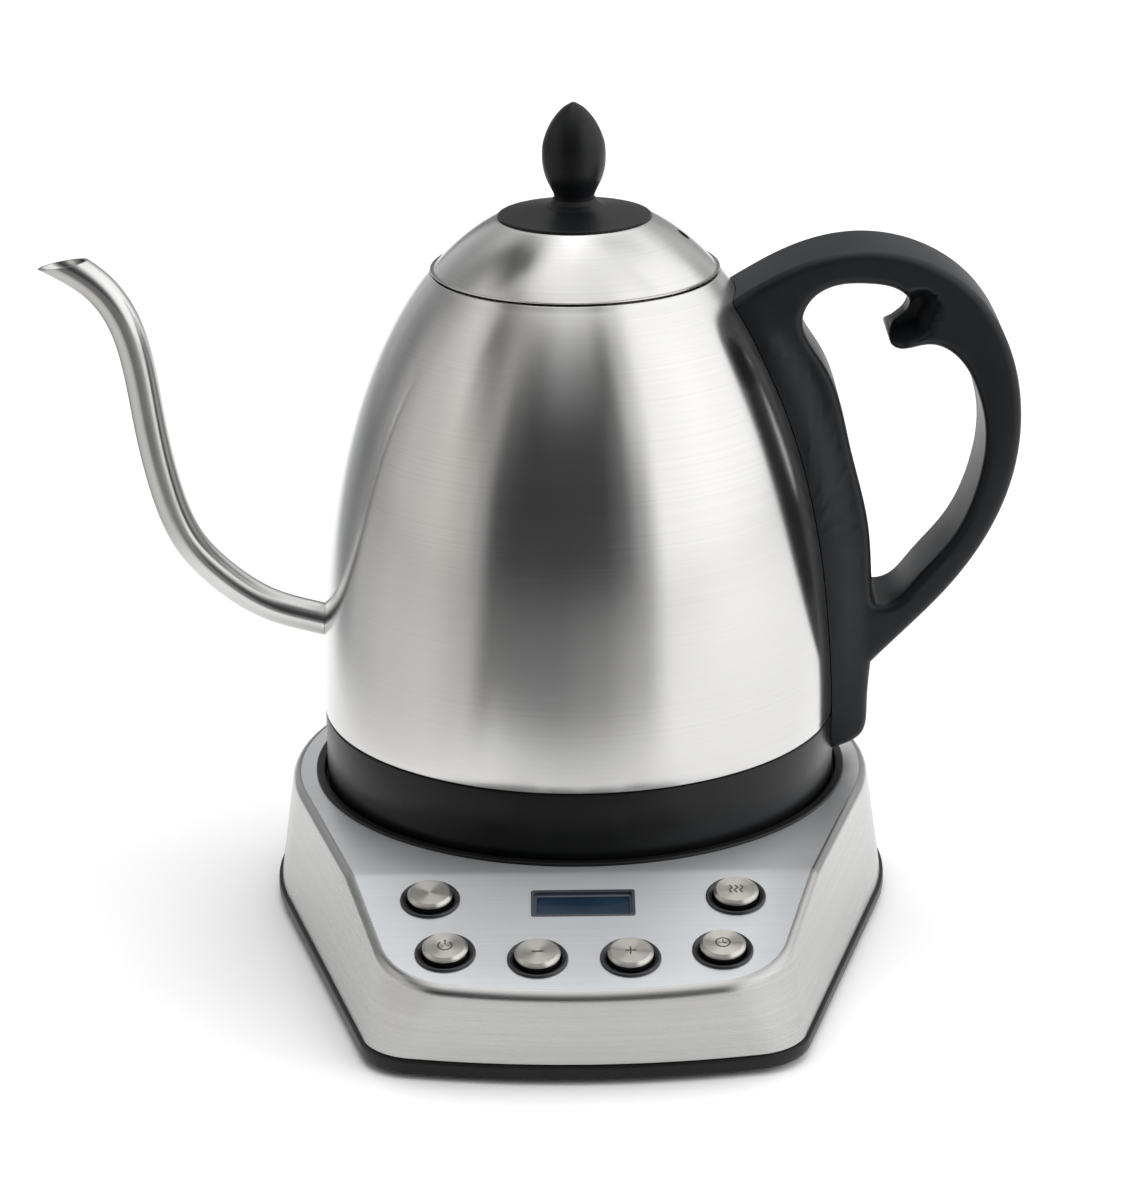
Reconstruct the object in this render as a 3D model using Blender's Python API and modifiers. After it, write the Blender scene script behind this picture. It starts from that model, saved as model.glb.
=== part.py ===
"""Gooseneck pouring kettle with its lift-off lid and its round cordless power base.

Sizes are in millimetres about the kettle's own upright axis, and MM turns them into metres.
X runs from the spout (-X) to the handle (+X), the control panel faces -Y and Z is up from the table.
"""

import math

import bmesh
import bpy
from mathutils import Vector

MM = 0.001
GAP = 0.3  # clearance between pieces that touch

# Overall reach from the kettle's axis
SPOUT_REACH = 152.4
HANDLE_REACH = 127.1
BASE_FRONT = 135.9
BASE_REAR = 90.7
AXIS_AT = ((SPOUT_REACH - HANDLE_REACH) / 2, (BASE_FRONT - BASE_REAR) / 2, 0.0)

# Kettle body: a superellipse dome that the lid continues
BODY_RADIUS = 75.15
BODY_RISE = 147.96
BODY_WAIST_Z = 61.9
BODY_POWER = 2.155
BODY_WALL = 1.0
BODY_FOOT_Z = 58.9
BODY_TUCK_RADIUS = 72.7
BODY_TUCK_Z = 46.5
MOUTH_Z = 189.3
MOUTH_RADIUS = 39.9
ROUND_STEPS = 36

# Skirt under the body
SKIRT_RADIUS = 75.0
SKIRT_BOTTOM = 37.0
SKIRT_FLOOR = 3.0
SKIRT_WALL = 2.0
SKIRT_EYE = 25.0

# Lid
LID_EDGE_Z = 190.0
DISC_RADIUS = 21.6
DISC_EDGE_Z = 205.0
DISC_CROWN_Z = 206.9
KNOB_SEAT_Z = 207.2
KNOB_TIP_Z = 237.7
PLUG_RADIUS = 36.6
PLUG_BOTTOM = 181.0
COLLAR_RADIUS = 39.5
VENT_RADIUS = 2.1

# Base
SIDE_TAPER = math.radians(15.5)
PANEL_TILT = math.radians(13.0)
TRAY_BOTTOM = 1.5
TRAY_TOP = 5.5
STEEL_BOTTOM = 5.8
DECK_Z = 38.5
CREASE_Y = -82.0
STEEL_RADIUS_LOW = 89.6
STEEL_RADIUS_TOP = 85.4
STEEL_FRONT = 135.0
STEEL_WALL = 1.0
FRONT_BOW = 235.0
CORNER = 17.0
TOP_ROUND = 2.4
SEAT_HOLE = 77.3
SEAT_RIM = 78.4
SEAT_INNER = 75.9
SEAT_FLOOR = 36.7
SOCKET_RADIUS = 20.0
SOCKET_TOP = 50.0
SCREW_REACH = 46.7
GLAND_Z = 16.0
FOOT_RADIUS = 8.0
FEET = ((62.0, 36.0), (-62.0, 36.0), (46.0, -108.0), (-46.0, -108.0))

# Control panel, in its own plane: u to the right, v up the slope from the crease, w out of the face
BUTTONS = {
    "timer": (-42.0, -12.1),
    "boil": (42.0, -12.1),
    "power": (-37.4, -35.9),
    "hold": (37.4, -35.9),
    "minus": (-12.5, -38.85),
    "plus": (12.5, -38.85),
}
BUTTON_RADIUS = 6.2
BUTTON_PROUD = 2.9
BEZEL_RADIUS = 8.5
BEZEL_BORE = 6.5
BEZEL_COLLAR = 7.2
DISPLAY_CENTRE_V = -14.2
DISPLAY_SIZE = (28.6, 11.6)
BOARD_TOP_W = -6.6
BOARD_THICK = 1.6
BOARD_SIZE = (92.0, 34.0)
BOARD_CENTRE_V = -25.1

# Spout: a thin tube in the plane Y = 0
SPOUT_RADIUS = 4.75
SPOUT_BORE = 4.0
STRAINER_HOLE = 1.05
STRAINER_PITCH = 2.7
SPOUT_ROUTE = (
    (-66, 82.0), (-76, 84.9), (-90, 89.2), (-103.5, 98.2), (-112.8, 108.6), (-119.2, 125.0),
    (-123.3, 146.5), (-126.3, 166.0), (-130.0, 177.3), (-136.6, 186.4), (-146.5, 193.2), (-158, 199.5),
)
SPOUT_CUT_AT = (-138.0, 193.9)
SPOUT_CUT_SLOPE = math.radians(9.8)

# Handle outline and finger window in the plane Y = 0; "corner" points stay sharp
HANDLE_HALF = 14.0
HANDLE_EDGE = 2.0
HANDLE_OUTLINE = (
    (38, 179, "corner"), (52, 187.8, "round"), (65, 193.9, "round"), (81, 196.9, "round"),
    (98, 193.9, "round"), (113, 184.3, "round"), (122.6, 169.5, "round"), (126.9, 150, "round"),
    (125.6, 132.4, "round"), (119.2, 114.4, "round"), (107, 96.2, "round"), (92, 80.5, "round"),
    (85.2, 73.6, "corner"), (84.3, 60, "round"), (82.6, 51, "round"), (78.5, 48.2, "round"),
    (72, 46.2, "corner"), (60, 46.2, "corner"), (60, 110, "corner"), (42, 165, "corner"),
)
WINDOW_OUTLINE = (
    (65.6, 178, "round"), (68.5, 183.5, "round"), (75, 186.9, "round"), (84, 187, "round"),
    (91, 184.8, "round"), (94.6, 179.5, "round"), (94, 173, "round"), (89.4, 167.7, "round"),
    (90.4, 164.4, "round"), (101, 165.4, "round"), (111, 158.6, "round"), (116.6, 145, "round"),
    (115, 128, "round"), (108, 111.5, "round"), (97.5, 98.5, "round"), (88.5, 90.6, "round"),
    (85.3, 92.5, "round"), (84.2, 112, "round"), (79.2, 139, "round"), (71.5, 163, "round"),
)

parts = None
cutters = None
kettle_axis = None
panel_frame = None


# ---------------------------------------------------------------- helpers


def clear_scene():
    for obj in list(bpy.data.objects):
        bpy.data.objects.remove(obj, do_unlink=True)


def new_collection(name):
    collection = bpy.data.collections.new(name)
    bpy.context.scene.collection.children.link(collection)
    return collection


def new_empty(name, at, tilt=0.0, parent=None):
    empty = bpy.data.objects.new(name, None)
    empty.empty_display_size = 0.02
    parts.objects.link(empty)
    empty.location = Vector(at) * MM
    empty.rotation_euler = (tilt, 0.0, 0.0)
    empty.parent = parent
    return empty


def material(name, colour, roughness, metallic=0.0):
    made = bpy.data.materials.new(name)
    made.use_nodes = True
    shader = made.node_tree.nodes["Principled BSDF"]
    shader.inputs["Base Color"].default_value = (*colour, 1.0)
    shader.inputs["Roughness"].default_value = roughness
    shader.inputs["Metallic"].default_value = metallic
    return made


def place(name, data, look=None, at=(0, 0, 0), turn=(0, 0, 0), parent=None):
    """A named object from its mesh; without a look it is a cutter, kept out of the render."""
    obj = bpy.data.objects.new(name, data)
    obj.parent = parent or kettle_axis
    obj.location = Vector(at) * MM
    obj.rotation_euler = turn
    if look:
        parts.objects.link(obj)
        data.materials.append(look)
    else:
        cutters.objects.link(obj)
        obj.hide_render = True
        obj.display_type = "WIRE"
    return obj


def boolean(obj, other, operation="DIFFERENCE"):
    step = obj.modifiers.new(other.name, "BOOLEAN")
    step.object = other
    step.operation = operation
    step.solver = "EXACT"


def turned(name, profile, look=None, steps=ROUND_STEPS, at=(0, 0, 0), turn=(0, 0, 0), parent=None):
    """A turned piece. The profile is (radius, height) points, run down its outer side."""
    mesh = bpy.data.meshes.new(name)
    count = len(profile)
    touches_axis = profile[0][0] == 0 and profile[-1][0] == 0
    edges = [(i, i + 1) for i in range(count - 1)]
    if not touches_axis:
        edges.append((count - 1, 0))
    mesh.from_pydata([(r * MM, 0, z * MM) for r, z in profile], edges, [])
    obj = place(name, mesh, look, at, turn, parent)
    screw = obj.modifiers.new("Screw", "SCREW")
    screw.steps = steps
    screw.render_steps = steps
    screw.use_merge_vertices = True
    screw.merge_threshold = 1e-5
    return obj


def cylinders(name, centres, radius, low, high, look=None, steps=16, parent=None, turn=(0, 0, 0)):
    """Upright cylinders of one radius between two heights, as one object."""
    mesh = bpy.data.meshes.new(name)
    bm = bmesh.new()
    for x, y in centres:
        found = bmesh.ops.create_cone(
            bm, cap_ends=True, segments=steps, radius1=radius * MM, radius2=radius * MM,
            depth=(high - low) * MM,
        )
        move = Vector((x, y, (high + low) / 2)) * MM
        bmesh.ops.translate(bm, verts=found["verts"], vec=move)
    bm.to_mesh(mesh)
    bm.free()
    return place(name, mesh, look, parent=parent, turn=turn)


def box(name, size, at, look=None, turn=(0, 0, 0), parent=None, bevel=0.0):
    mesh = bpy.data.meshes.new(name)
    bm = bmesh.new()
    found = bmesh.ops.create_cube(bm, size=1.0)
    bmesh.ops.scale(bm, verts=found["verts"], vec=Vector(size) * MM)
    bm.to_mesh(mesh)
    bm.free()
    obj = place(name, mesh, look, at, turn, parent)
    if bevel:
        step = obj.modifiers.new("Bevel", "BEVEL")
        step.width = bevel * MM
        step.segments = 2
    return obj


def curve_mesh(name, curve):
    """The mesh of a curve, with its loose caps welded; the curve is removed."""
    holder = bpy.data.objects.new(name + "_curve", curve)
    bpy.context.scene.collection.objects.link(holder)
    bpy.context.view_layer.update()
    graph = bpy.context.evaluated_depsgraph_get()
    mesh = bpy.data.meshes.new_from_object(holder.evaluated_get(graph))
    mesh.name = name
    bpy.data.objects.remove(holder, do_unlink=True)
    bm = bmesh.new()
    bm.from_mesh(mesh)
    bmesh.ops.remove_doubles(bm, verts=bm.verts, dist=1e-6)
    bmesh.ops.recalc_face_normals(bm, faces=bm.faces)
    bm.to_mesh(mesh)
    bm.free()
    return mesh


def tube_mesh(name, route, radius, sides, finish=3):
    """A round tube along a smooth route of (x, y, z) points."""
    curve = bpy.data.curves.new(name, "CURVE")
    curve.dimensions = "3D"
    curve.bevel_depth = radius * MM
    curve.bevel_resolution = sides
    curve.resolution_u = finish
    curve.use_fill_caps = True
    spline = curve.splines.new("BEZIER")
    spline.bezier_points.add(len(route) - 1)
    for point, spot in zip(spline.bezier_points, route):
        point.co = Vector(spot) * MM
        point.handle_left_type = "AUTO"
        point.handle_right_type = "AUTO"
    return curve_mesh(name, curve)


def slab_mesh(name, outlines, half, edge, finish=2):
    """A flat slab in the plane Y = 0 from smooth outlines, the first the outside, with rounded edges."""
    curve = bpy.data.curves.new(name, "CURVE")
    curve.dimensions = "2D"
    curve.fill_mode = "BOTH"
    curve.extrude = (half - edge) * MM
    curve.bevel_depth = edge * MM
    curve.bevel_resolution = 1
    curve.offset = -edge * MM
    curve.resolution_u = finish
    for outline in outlines:
        spline = curve.splines.new("BEZIER")
        spline.bezier_points.add(len(outline) - 1)
        spline.use_cyclic_u = True
        for point, (x, z, kind) in zip(spline.bezier_points, outline):
            point.co = Vector((x, z, 0)) * MM
            handle = "VECTOR" if kind == "corner" else "AUTO"
            point.handle_left_type = handle
            point.handle_right_type = handle
    return curve_mesh(name, curve)


# ---------------------------------------------------------------- shapes worked out from the driving sizes


def body_curve(start_z, end_z, count, inset=0.0):
    """(radius, height) points down the dome from start_z to end_z, moved in by inset along the normal."""
    power = 2 / BODY_POWER
    first = math.asin(((start_z - BODY_WAIST_Z) / BODY_RISE) ** (1 / power))
    last = math.asin((max(end_z - BODY_WAIST_Z, 0) / BODY_RISE) ** (1 / power))
    points = []
    for i in range(count):
        angle = first + (last - first) * i / (count - 1)
        radius = BODY_RADIUS * math.cos(angle) ** power
        height = BODY_WAIST_Z + BODY_RISE * math.sin(angle) ** power
        normal = Vector((
            (radius / BODY_RADIUS) ** (BODY_POWER - 1) / BODY_RADIUS,
            ((height - BODY_WAIST_Z) / BODY_RISE) ** (BODY_POWER - 1) / BODY_RISE,
        )).normalized()
        points.append((radius - inset * normal.x, height - inset * normal.y))
    return points


def body_solid(name, clearance):
    """The space of body and skirt grown by a clearance, for cutting what sits against them."""
    dome = body_curve(200.0, BODY_WAIST_Z, 20, -clearance)
    side = SKIRT_RADIUS + clearance
    profile = [(0, 204.0), *dome, (BODY_RADIUS + clearance, 57.0), (side, 57.0), (side, 30.0), (0, 30.0)]
    return turned(name, profile)


def base_outline(radius, front, corner):
    """The base's plan, clockwise from the rear: a round back, tapered sides, round corners and a bowed front."""
    side = Vector((math.cos(SIDE_TAPER), -math.sin(SIDE_TAPER)))
    along = Vector((-math.sin(SIDE_TAPER), -math.cos(SIDE_TAPER)))
    bow_centre = Vector((0, FRONT_BOW - front))
    start = side * (radius - corner) - bow_centre
    half = start.dot(along)
    reach = math.sqrt(half * half - start.length_squared + (FRONT_BOW - corner) ** 2)
    centre = side * (radius - corner) + along * (reach - half)
    turn_end = (centre - bow_centre).normalized()
    end_angle = math.atan2(turn_end.y, turn_end.x)
    right = []
    rear_steps, corner_steps, bow_steps = 9, 4, 2
    for i in range(rear_steps + 1):
        angle = math.pi / 2 - (math.pi / 2 + SIDE_TAPER) * i / rear_steps
        right.append(Vector((math.cos(angle), math.sin(angle))) * radius)
    reach_to_crease = (CREASE_Y - side.y * radius) / along.y
    right.append(side * radius + along * reach_to_crease)
    for i in range(corner_steps + 1):
        angle = -SIDE_TAPER + (end_angle + SIDE_TAPER) * i / corner_steps
        right.append(centre + Vector((math.cos(angle), math.sin(angle))) * corner)
    for i in range(1, bow_steps + 1):
        angle = end_angle + (-math.pi / 2 - end_angle) * i / bow_steps
        right.append(bow_centre + Vector((math.cos(angle), math.sin(angle))) * FRONT_BOW)
    left = [Vector((-p.x, p.y)) for p in right[-2:0:-1]]
    return right + left


def top_height(y):
    """Height of the deck, or of the panel that slopes down in front of the crease."""
    return DECK_Z if y >= CREASE_Y else DECK_Z + (y - CREASE_Y) * math.tan(PANEL_TILT)


def loft(rings, bottom_cap, split_top):
    """A bmesh through closed rings of equal length; split_top caps it as deck and panel."""
    bm = bmesh.new()
    rows = [[bm.verts.new(Vector(p) * MM) for p in ring] for ring in rings]
    count = len(rows[0])
    for low, high in zip(rows, rows[1:]):
        for i in range(count):
            j = (i + 1) % count
            bm.faces.new((low[i], low[j], high[j], high[i]))
    if bottom_cap:
        bm.faces.new(rows[0])
    if split_top:
        crease = [i for i, p in enumerate(rings[-1]) if abs(p[1] - CREASE_Y) < 1e-6]
        first, second = crease
        bm.faces.new(rows[-1][first:second + 1])
        bm.faces.new(rows[-1][second:] + rows[-1][:first + 1])
    else:
        bm.faces.new(rows[-1])
    bmesh.ops.recalc_face_normals(bm, faces=bm.faces)
    return bm


def to_mesh(name, bm):
    mesh = bpy.data.meshes.new(name)
    bm.to_mesh(mesh)
    bm.free()
    return mesh


def screw_profile(head_radius, head_height, shank_radius, length):
    """A pan-head screw, its head up, with the underside of the head at height 0."""
    recess = head_radius * 0.45
    return [
        (0, head_height * 0.4), (recess, head_height), (head_radius * 0.85, head_height),
        (head_radius, head_height * 0.6), (head_radius, 0), (shank_radius, 0),
        (shank_radius, -length), (0, -length),
    ]


# ---------------------------------------------------------------- base


def build_base(steel, black, rubber, bolt, brass):
    low = base_outline(STEEL_RADIUS_LOW, STEEL_FRONT, CORNER)
    rings = [[(p.x, p.y, STEEL_BOTTOM) for p in low]]
    for inset, drop in ((0.0, TOP_ROUND), (TOP_ROUND * 0.3, TOP_ROUND * 0.3), (TOP_ROUND, 0.0)):
        plan = base_outline(STEEL_RADIUS_TOP - inset, STEEL_FRONT - inset, CORNER - inset)
        rings.append([(p.x, p.y, top_height(p.y) - drop) for p in plan])
    base_shell = place("base_shell", to_mesh("base_shell", loft(rings, False, True)), steel)
    wall = base_shell.modifiers.new("Wall", "SOLIDIFY")
    wall.thickness = STEEL_WALL * MM
    wall.offset = -1.0
    boolean(base_shell, cylinders("seat_hole", [(0, 0)], SEAT_HOLE, 30, 50, steps=ROUND_STEPS))
    boolean(base_shell, cylinders("button_holes", BUTTONS.values(), BEZEL_COLLAR + GAP, -10, 10, parent=panel_frame))
    cut_size = (DISPLAY_SIZE[0] - 1.2, DISPLAY_SIZE[1] - 1.2, 12)
    boolean(base_shell, box("display_cut", cut_size, (0, DISPLAY_CENTRE_V, 0), parent=panel_frame))
    gland_hole = turned("gland_hole", [(0, 20), (6.0, 20), (6.0, -20), (0, -20)], steps=16,
                        at=(0, 88, GLAND_Z), turn=(math.pi / 2, 0, 0))
    boolean(base_shell, gland_hole)

    build_tray(black)
    for name, (x, y) in zip(("foot_rear_right", "foot_rear_left", "foot_front_right", "foot_front_left"), FEET):
        pad = [(0, 2.4), (FOOT_RADIUS, 2.4), (FOOT_RADIUS, 0.6), (FOOT_RADIUS - 0.6, 0), (0, 0)]
        turned(name, pad, rubber, steps=16, at=(x, y, 0))
    corners = (("rear_right", 1, 1), ("rear_left", -1, 1), ("front_right", 1, -1), ("front_left", -1, -1))
    for name, sx, sy in corners:
        turned("tray_screw_" + name, screw_profile(3.0, 1.2, 1.3, 11.0), bolt, steps=10,
               at=(sx * SCREW_REACH, sy * SCREW_REACH, 2.8), turn=(math.pi, 0, 0))

    build_seat(black)
    build_socket(black, brass)
    gland = [(5.7, 10), (5.7, 3.2), (8.0, 3.2), (8.0, 0), (3.3, 0), (3.3, 10)]
    turned("cord_gland", gland, black, steps=16, at=(0, 80, GLAND_Z), turn=(-math.pi / 2, 0, 0))


def build_tray(black):
    def ring(inset, z):
        return [(p.x, p.y, z) for p in base_outline(BASE_REAR - inset, BASE_FRONT - inset, CORNER + 0.5 - inset)]

    rings = [
        ring(1.0, TRAY_BOTTOM), ring(0, TRAY_BOTTOM + 0.8), ring(0, TRAY_TOP),
        ring(3.1, TRAY_TOP), ring(3.4, 9.0), ring(4.9, 9.0), ring(4.9, 4.0),
    ]
    tray = place("base_tray", to_mesh("base_tray", loft(rings, True, False)), black)
    boolean(tray, cylinders("foot_pockets", FEET, FOOT_RADIUS + GAP, 0, 2.7))
    screws = [(x * SCREW_REACH, y * SCREW_REACH) for x in (1, -1) for y in (1, -1)]
    boolean(tray, cylinders("screw_heads", screws, 3.4, 0, 3.1, steps=10))
    boolean(tray, cylinders("screw_holes", screws, 1.7, 0, 6, steps=10))
    for row, y in (("rear", -96.0), ("front", -118.0)):
        under = top_height(y) + (BOARD_TOP_W - BOARD_THICK) / math.cos(PANEL_TILT) - 1.0
        boolean(tray, cylinders("board_posts_" + row, [(38, y), (-38, y)], 2.5, 3, under, steps=10), "UNION")
    boolean(tray, cylinders("power_posts", [(28, -20), (-28, -20), (28, -50), (-28, -50)], 2.5, 3, 9.7, steps=10),
            "UNION")


def build_seat(black):
    """The black dish in the deck that the kettle stands in, with four screw bosses under it."""
    floor_low = SEAT_FLOOR - 1.7
    profile = [
        (SEAT_INNER, DECK_Z + 0.8), (SEAT_RIM - 0.3, DECK_Z + 0.8), (SEAT_RIM, DECK_Z + GAP),
        (SEAT_HOLE - GAP, DECK_Z + GAP), (SEAT_HOLE - GAP, floor_low), (SOCKET_RADIUS + GAP, floor_low),
        (SOCKET_RADIUS + GAP, SEAT_FLOOR), (SEAT_INNER - 0.4, SEAT_FLOOR),
    ]
    seat = turned("seat_pan", profile, black)
    screws = [(x * SCREW_REACH, y * SCREW_REACH) for x in (1, -1) for y in (1, -1)]
    boolean(seat, cylinders("seat_bosses", screws, 3.6, 4.3, floor_low + 1, steps=12), "UNION")
    boolean(seat, cylinders("seat_boss_bores", screws, 1.6, 0, 16, steps=10))


def build_socket(black, brass):
    """The round socket that the kettle turns on: a centre hole and one ring slot, each with its contact."""
    top = SOCKET_TOP
    profile = [
        (12.2, top), (SOCKET_RADIUS - 1, top), (SOCKET_RADIUS, top - 1), (SOCKET_RADIUS, 34.7),
        (23.5, 34.7), (23.5, 32.0), (0, 32.0), (0, 33.5), (3.2, 33.5), (3.2, top), (8.8, top),
        (8.8, 34.0), (12.2, 34.0),
    ]
    mesh = bpy.data.meshes.new("power_socket")
    order = profile[:7]
    order_top = profile[7:]
    points = order + order_top
    count = len(points)
    edges = [(i, i + 1) for i in range(count - 1) if i != 6] + [(count - 1, 0)]
    mesh.from_pydata([(r * MM, 0, z * MM) for r, z in points], edges, [])
    socket = place("power_socket", mesh, black)
    screw = socket.modifiers.new("Screw", "SCREW")
    screw.steps = 24
    screw.render_steps = 24
    screw.use_merge_vertices = True
    screw.merge_threshold = 1e-5
    turned("socket_ring_contact", [(9.2, 36.5), (11.8, 36.5), (11.8, 34.4), (9.2, 34.4)], brass, steps=20)
    turned("socket_pin_contact", [(0, 35.4), (2.8, 35.4), (2.8, 33.9), (0, 33.9)], brass, steps=12)


# ---------------------------------------------------------------- control panel


def build_panel(black, grey, steel, glass, board_green, display):
    for name, (u, v) in BUTTONS.items():
        ring = [
            (BEZEL_BORE, 1.0), (BEZEL_RADIUS - 0.4, 1.0), (BEZEL_RADIUS, GAP), (BEZEL_COLLAR, GAP),
            (BEZEL_COLLAR, -2.0), (BEZEL_BORE, -2.0),
        ]
        turned(name + "_bezel", ring, grey, steps=16, at=(u, v, 0), parent=panel_frame)
        cap = [
            (0, BUTTON_PROUD), (BUTTON_RADIUS - 0.6, BUTTON_PROUD), (BUTTON_RADIUS, BUTTON_PROUD - 0.5),
            (BUTTON_RADIUS, -2.5), (2.0, -2.5), (2.0, -5.2), (0, -5.2),
        ]
        turned(name + "_button", cap, steel, steps=16, at=(u, v, 0), parent=panel_frame)

    wide, deep = DISPLAY_SIZE
    at = (0, DISPLAY_CENTRE_V, 0)
    frame = box("display_frame", (wide, deep, 0.5), (0, DISPLAY_CENTRE_V, 0.55), black, parent=panel_frame)
    collar = box("display_collar", (wide - 1.8, deep - 1.8, 2.0), (0, DISPLAY_CENTRE_V, -0.4), parent=panel_frame)
    boolean(frame, collar, "UNION")
    boolean(frame, box("display_hole", (wide - 3.2, deep - 3.2, 6), at, parent=panel_frame))
    box("display_window", (wide - 3.8, deep - 3.8, 1.5), (0, DISPLAY_CENTRE_V, -0.35), glass, parent=panel_frame)
    box("lcd_module", (32, 15, 4.5), (0, DISPLAY_CENTRE_V, -4.05), display, parent=panel_frame)
    board_at = (0, BOARD_CENTRE_V, BOARD_TOP_W - BOARD_THICK / 2)
    box("control_board", (*BOARD_SIZE, BOARD_THICK), board_at, board_green, parent=panel_frame)
    box("power_board", (70, 46, 1.6), (0, -35, 10.8), board_green)
    turned("buzzer", [(0, 18), (5.5, 18), (6, 17.5), (6, 11.9), (0, 11.9)], black, steps=16, at=(20, -44, 0))


# ---------------------------------------------------------------- kettle


def build_body(steel, bright, black):
    outer = body_curve(MOUTH_Z, BODY_WAIST_Z, 10)
    inner = body_curve(MOUTH_Z - 2.5, BODY_WAIST_Z, 7, BODY_WALL)
    inner.reverse()
    tuck_in = BODY_TUCK_RADIUS - BODY_WALL
    profile = [
        *outer, (BODY_RADIUS - 0.1, BODY_FOOT_Z), (BODY_TUCK_RADIUS, BODY_FOOT_Z),
        (BODY_TUCK_RADIUS, BODY_TUCK_Z), (tuck_in, BODY_TUCK_Z), (tuck_in, BODY_FOOT_Z + 1.2),
        *inner, (MOUTH_RADIUS, MOUTH_Z - 1.2), (MOUTH_RADIUS, MOUTH_Z - 0.3), (MOUTH_RADIUS + 0.3, MOUTH_Z),
    ]
    body = turned("body_shell", profile, steel)
    lean = math.atan2(SPOUT_ROUTE[1][1] - SPOUT_ROUTE[0][1], SPOUT_ROUTE[0][0] - SPOUT_ROUTE[1][0])
    strainer = cylinders("strainer_holes", strainer_places(), STRAINER_HOLE, -12, 12, steps=8)
    strainer.location = Vector((-74.5, 0, 84.5)) * MM
    strainer.rotation_euler = (0, -math.pi / 2 + lean, 0)
    boolean(body, strainer)
    collar = [
        (COLLAR_RADIUS, 187.7), (COLLAR_RADIUS, 178.0), (COLLAR_RADIUS - 0.9, 178.0), (COLLAR_RADIUS - 0.9, 187.7),
    ]
    turned("mouth_collar", collar, bright, steps=28)

    eye = SKIRT_EYE
    floor_top = SKIRT_BOTTOM + SKIRT_FLOOR
    inside = SKIRT_RADIUS - SKIRT_WALL
    top = BODY_FOOT_Z - GAP
    skirt = turned("skirt", [
        (SKIRT_RADIUS, top), (SKIRT_RADIUS, SKIRT_BOTTOM + 0.8), (SKIRT_RADIUS - 0.8, SKIRT_BOTTOM),
        (eye, SKIRT_BOTTOM), (eye, 43.7), (eye + 2, 43.7), (eye + 2, floor_top), (inside, floor_top), (inside, top),
    ], black)
    boolean(skirt, cylinders("skirt_screw_heads", stud_places(), 3.5, 30, SKIRT_BOTTOM + 1.7, steps=10))
    boolean(skirt, cylinders("skirt_screw_holes", stud_places(), 1.7, 30, 45, steps=10))


def strainer_places():
    """The holes in the body's wall behind the spout: one in the middle and six round it."""
    ring = [math.radians(60 * i) for i in range(6)]
    return [(0, 0), *((STRAINER_PITCH * math.cos(a), STRAINER_PITCH * math.sin(a)) for a in ring)]


def stud_places():
    return [(52 * math.cos(a), 52 * math.sin(a)) for a in (math.radians(90 + 120 * i) for i in range(3))]


def build_heater(steel, aluminium, dark_steel, silicone, bolt):
    probe_x = 26.0
    plate = turned("floor_plate", [(0, 65.2), (73.2, 65.2), (73.2, 64.0), (0, 64.0)], steel, steps=32)
    spreader = turned("heat_spreader", [(0, 63.7), (58, 63.7), (58, 61.2), (0, 61.2)], aluminium, steps=32)
    boolean(spreader, cylinders("studs", stud_places(), 3.4, 40.3, 62, steps=10), "UNION")
    boolean(spreader, cylinders("stud_bores", stud_places(), 1.6, 30, 54, steps=10))
    probe_hole = cylinders("probe_hole", [(probe_x, 0)], 2.6, 50, 75, steps=12)
    boolean(plate, probe_hole)
    boolean(spreader, probe_hole)
    probe = [(0, 80), (1.5, 79.3), (2.2, 77.8), (2.2, 56), (0, 56)]
    turned("temperature_probe", probe, steel, steps=10, at=(probe_x, 0, 0))
    seal = [(2.5, 68), (4.2, 68), (5.2, 66.5), (5.2, 65.5), (2.5, 65.5)]
    turned("probe_seal", seal, silicone, steps=14, at=(probe_x, 0, 0))

    ring, ring_z, terminal_z = 42.0, 57.5, 49.0
    steps, first = 16, 0.3
    route = []
    for i in range(steps + 1):
        angle = first + (2 * math.pi - 2 * first) * i / steps
        height = terminal_z if i in (0, steps) else ring_z
        route.append((ring * math.cos(angle), ring * math.sin(angle), height))
    place("heating_element", tube_mesh("heating_element", route, 3.0, 1, 2), dark_steel)

    for index, (x, y) in enumerate(stud_places(), start=1):
        turned(f"skirt_screw_{index}", screw_profile(3.1, 1.3, 1.3, 13.0), bolt, steps=10,
               at=(x, y, SKIRT_BOTTOM + 1.4), turn=(math.pi, 0, 0))


def build_coupler(black, brass):
    """The kettle's half of the cordless connector, which drops over the socket."""
    top = 53.5
    coupler = [
        (0, top), (23.0, top), (23.6, top - 0.6), (23.6, 46.5), (33.0, 46.5), (33.0, 44.0), (23.6, 44.0),
        (23.6, 40.5), (20.9, 40.5), (20.9, 51.0), (0, 51.0),
    ]
    turned("coupler_body", coupler, black, steps=24)
    turned("coupler_ring", [(9.8, 50.7), (11.2, 50.7), (11.2, 37.2), (9.8, 37.2)], brass, steps=20)
    turned("coupler_pin", [(0, 50.7), (2.2, 50.7), (2.2, 37.2), (1.4, 36.2), (0, 36.2)], brass, steps=10)


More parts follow.
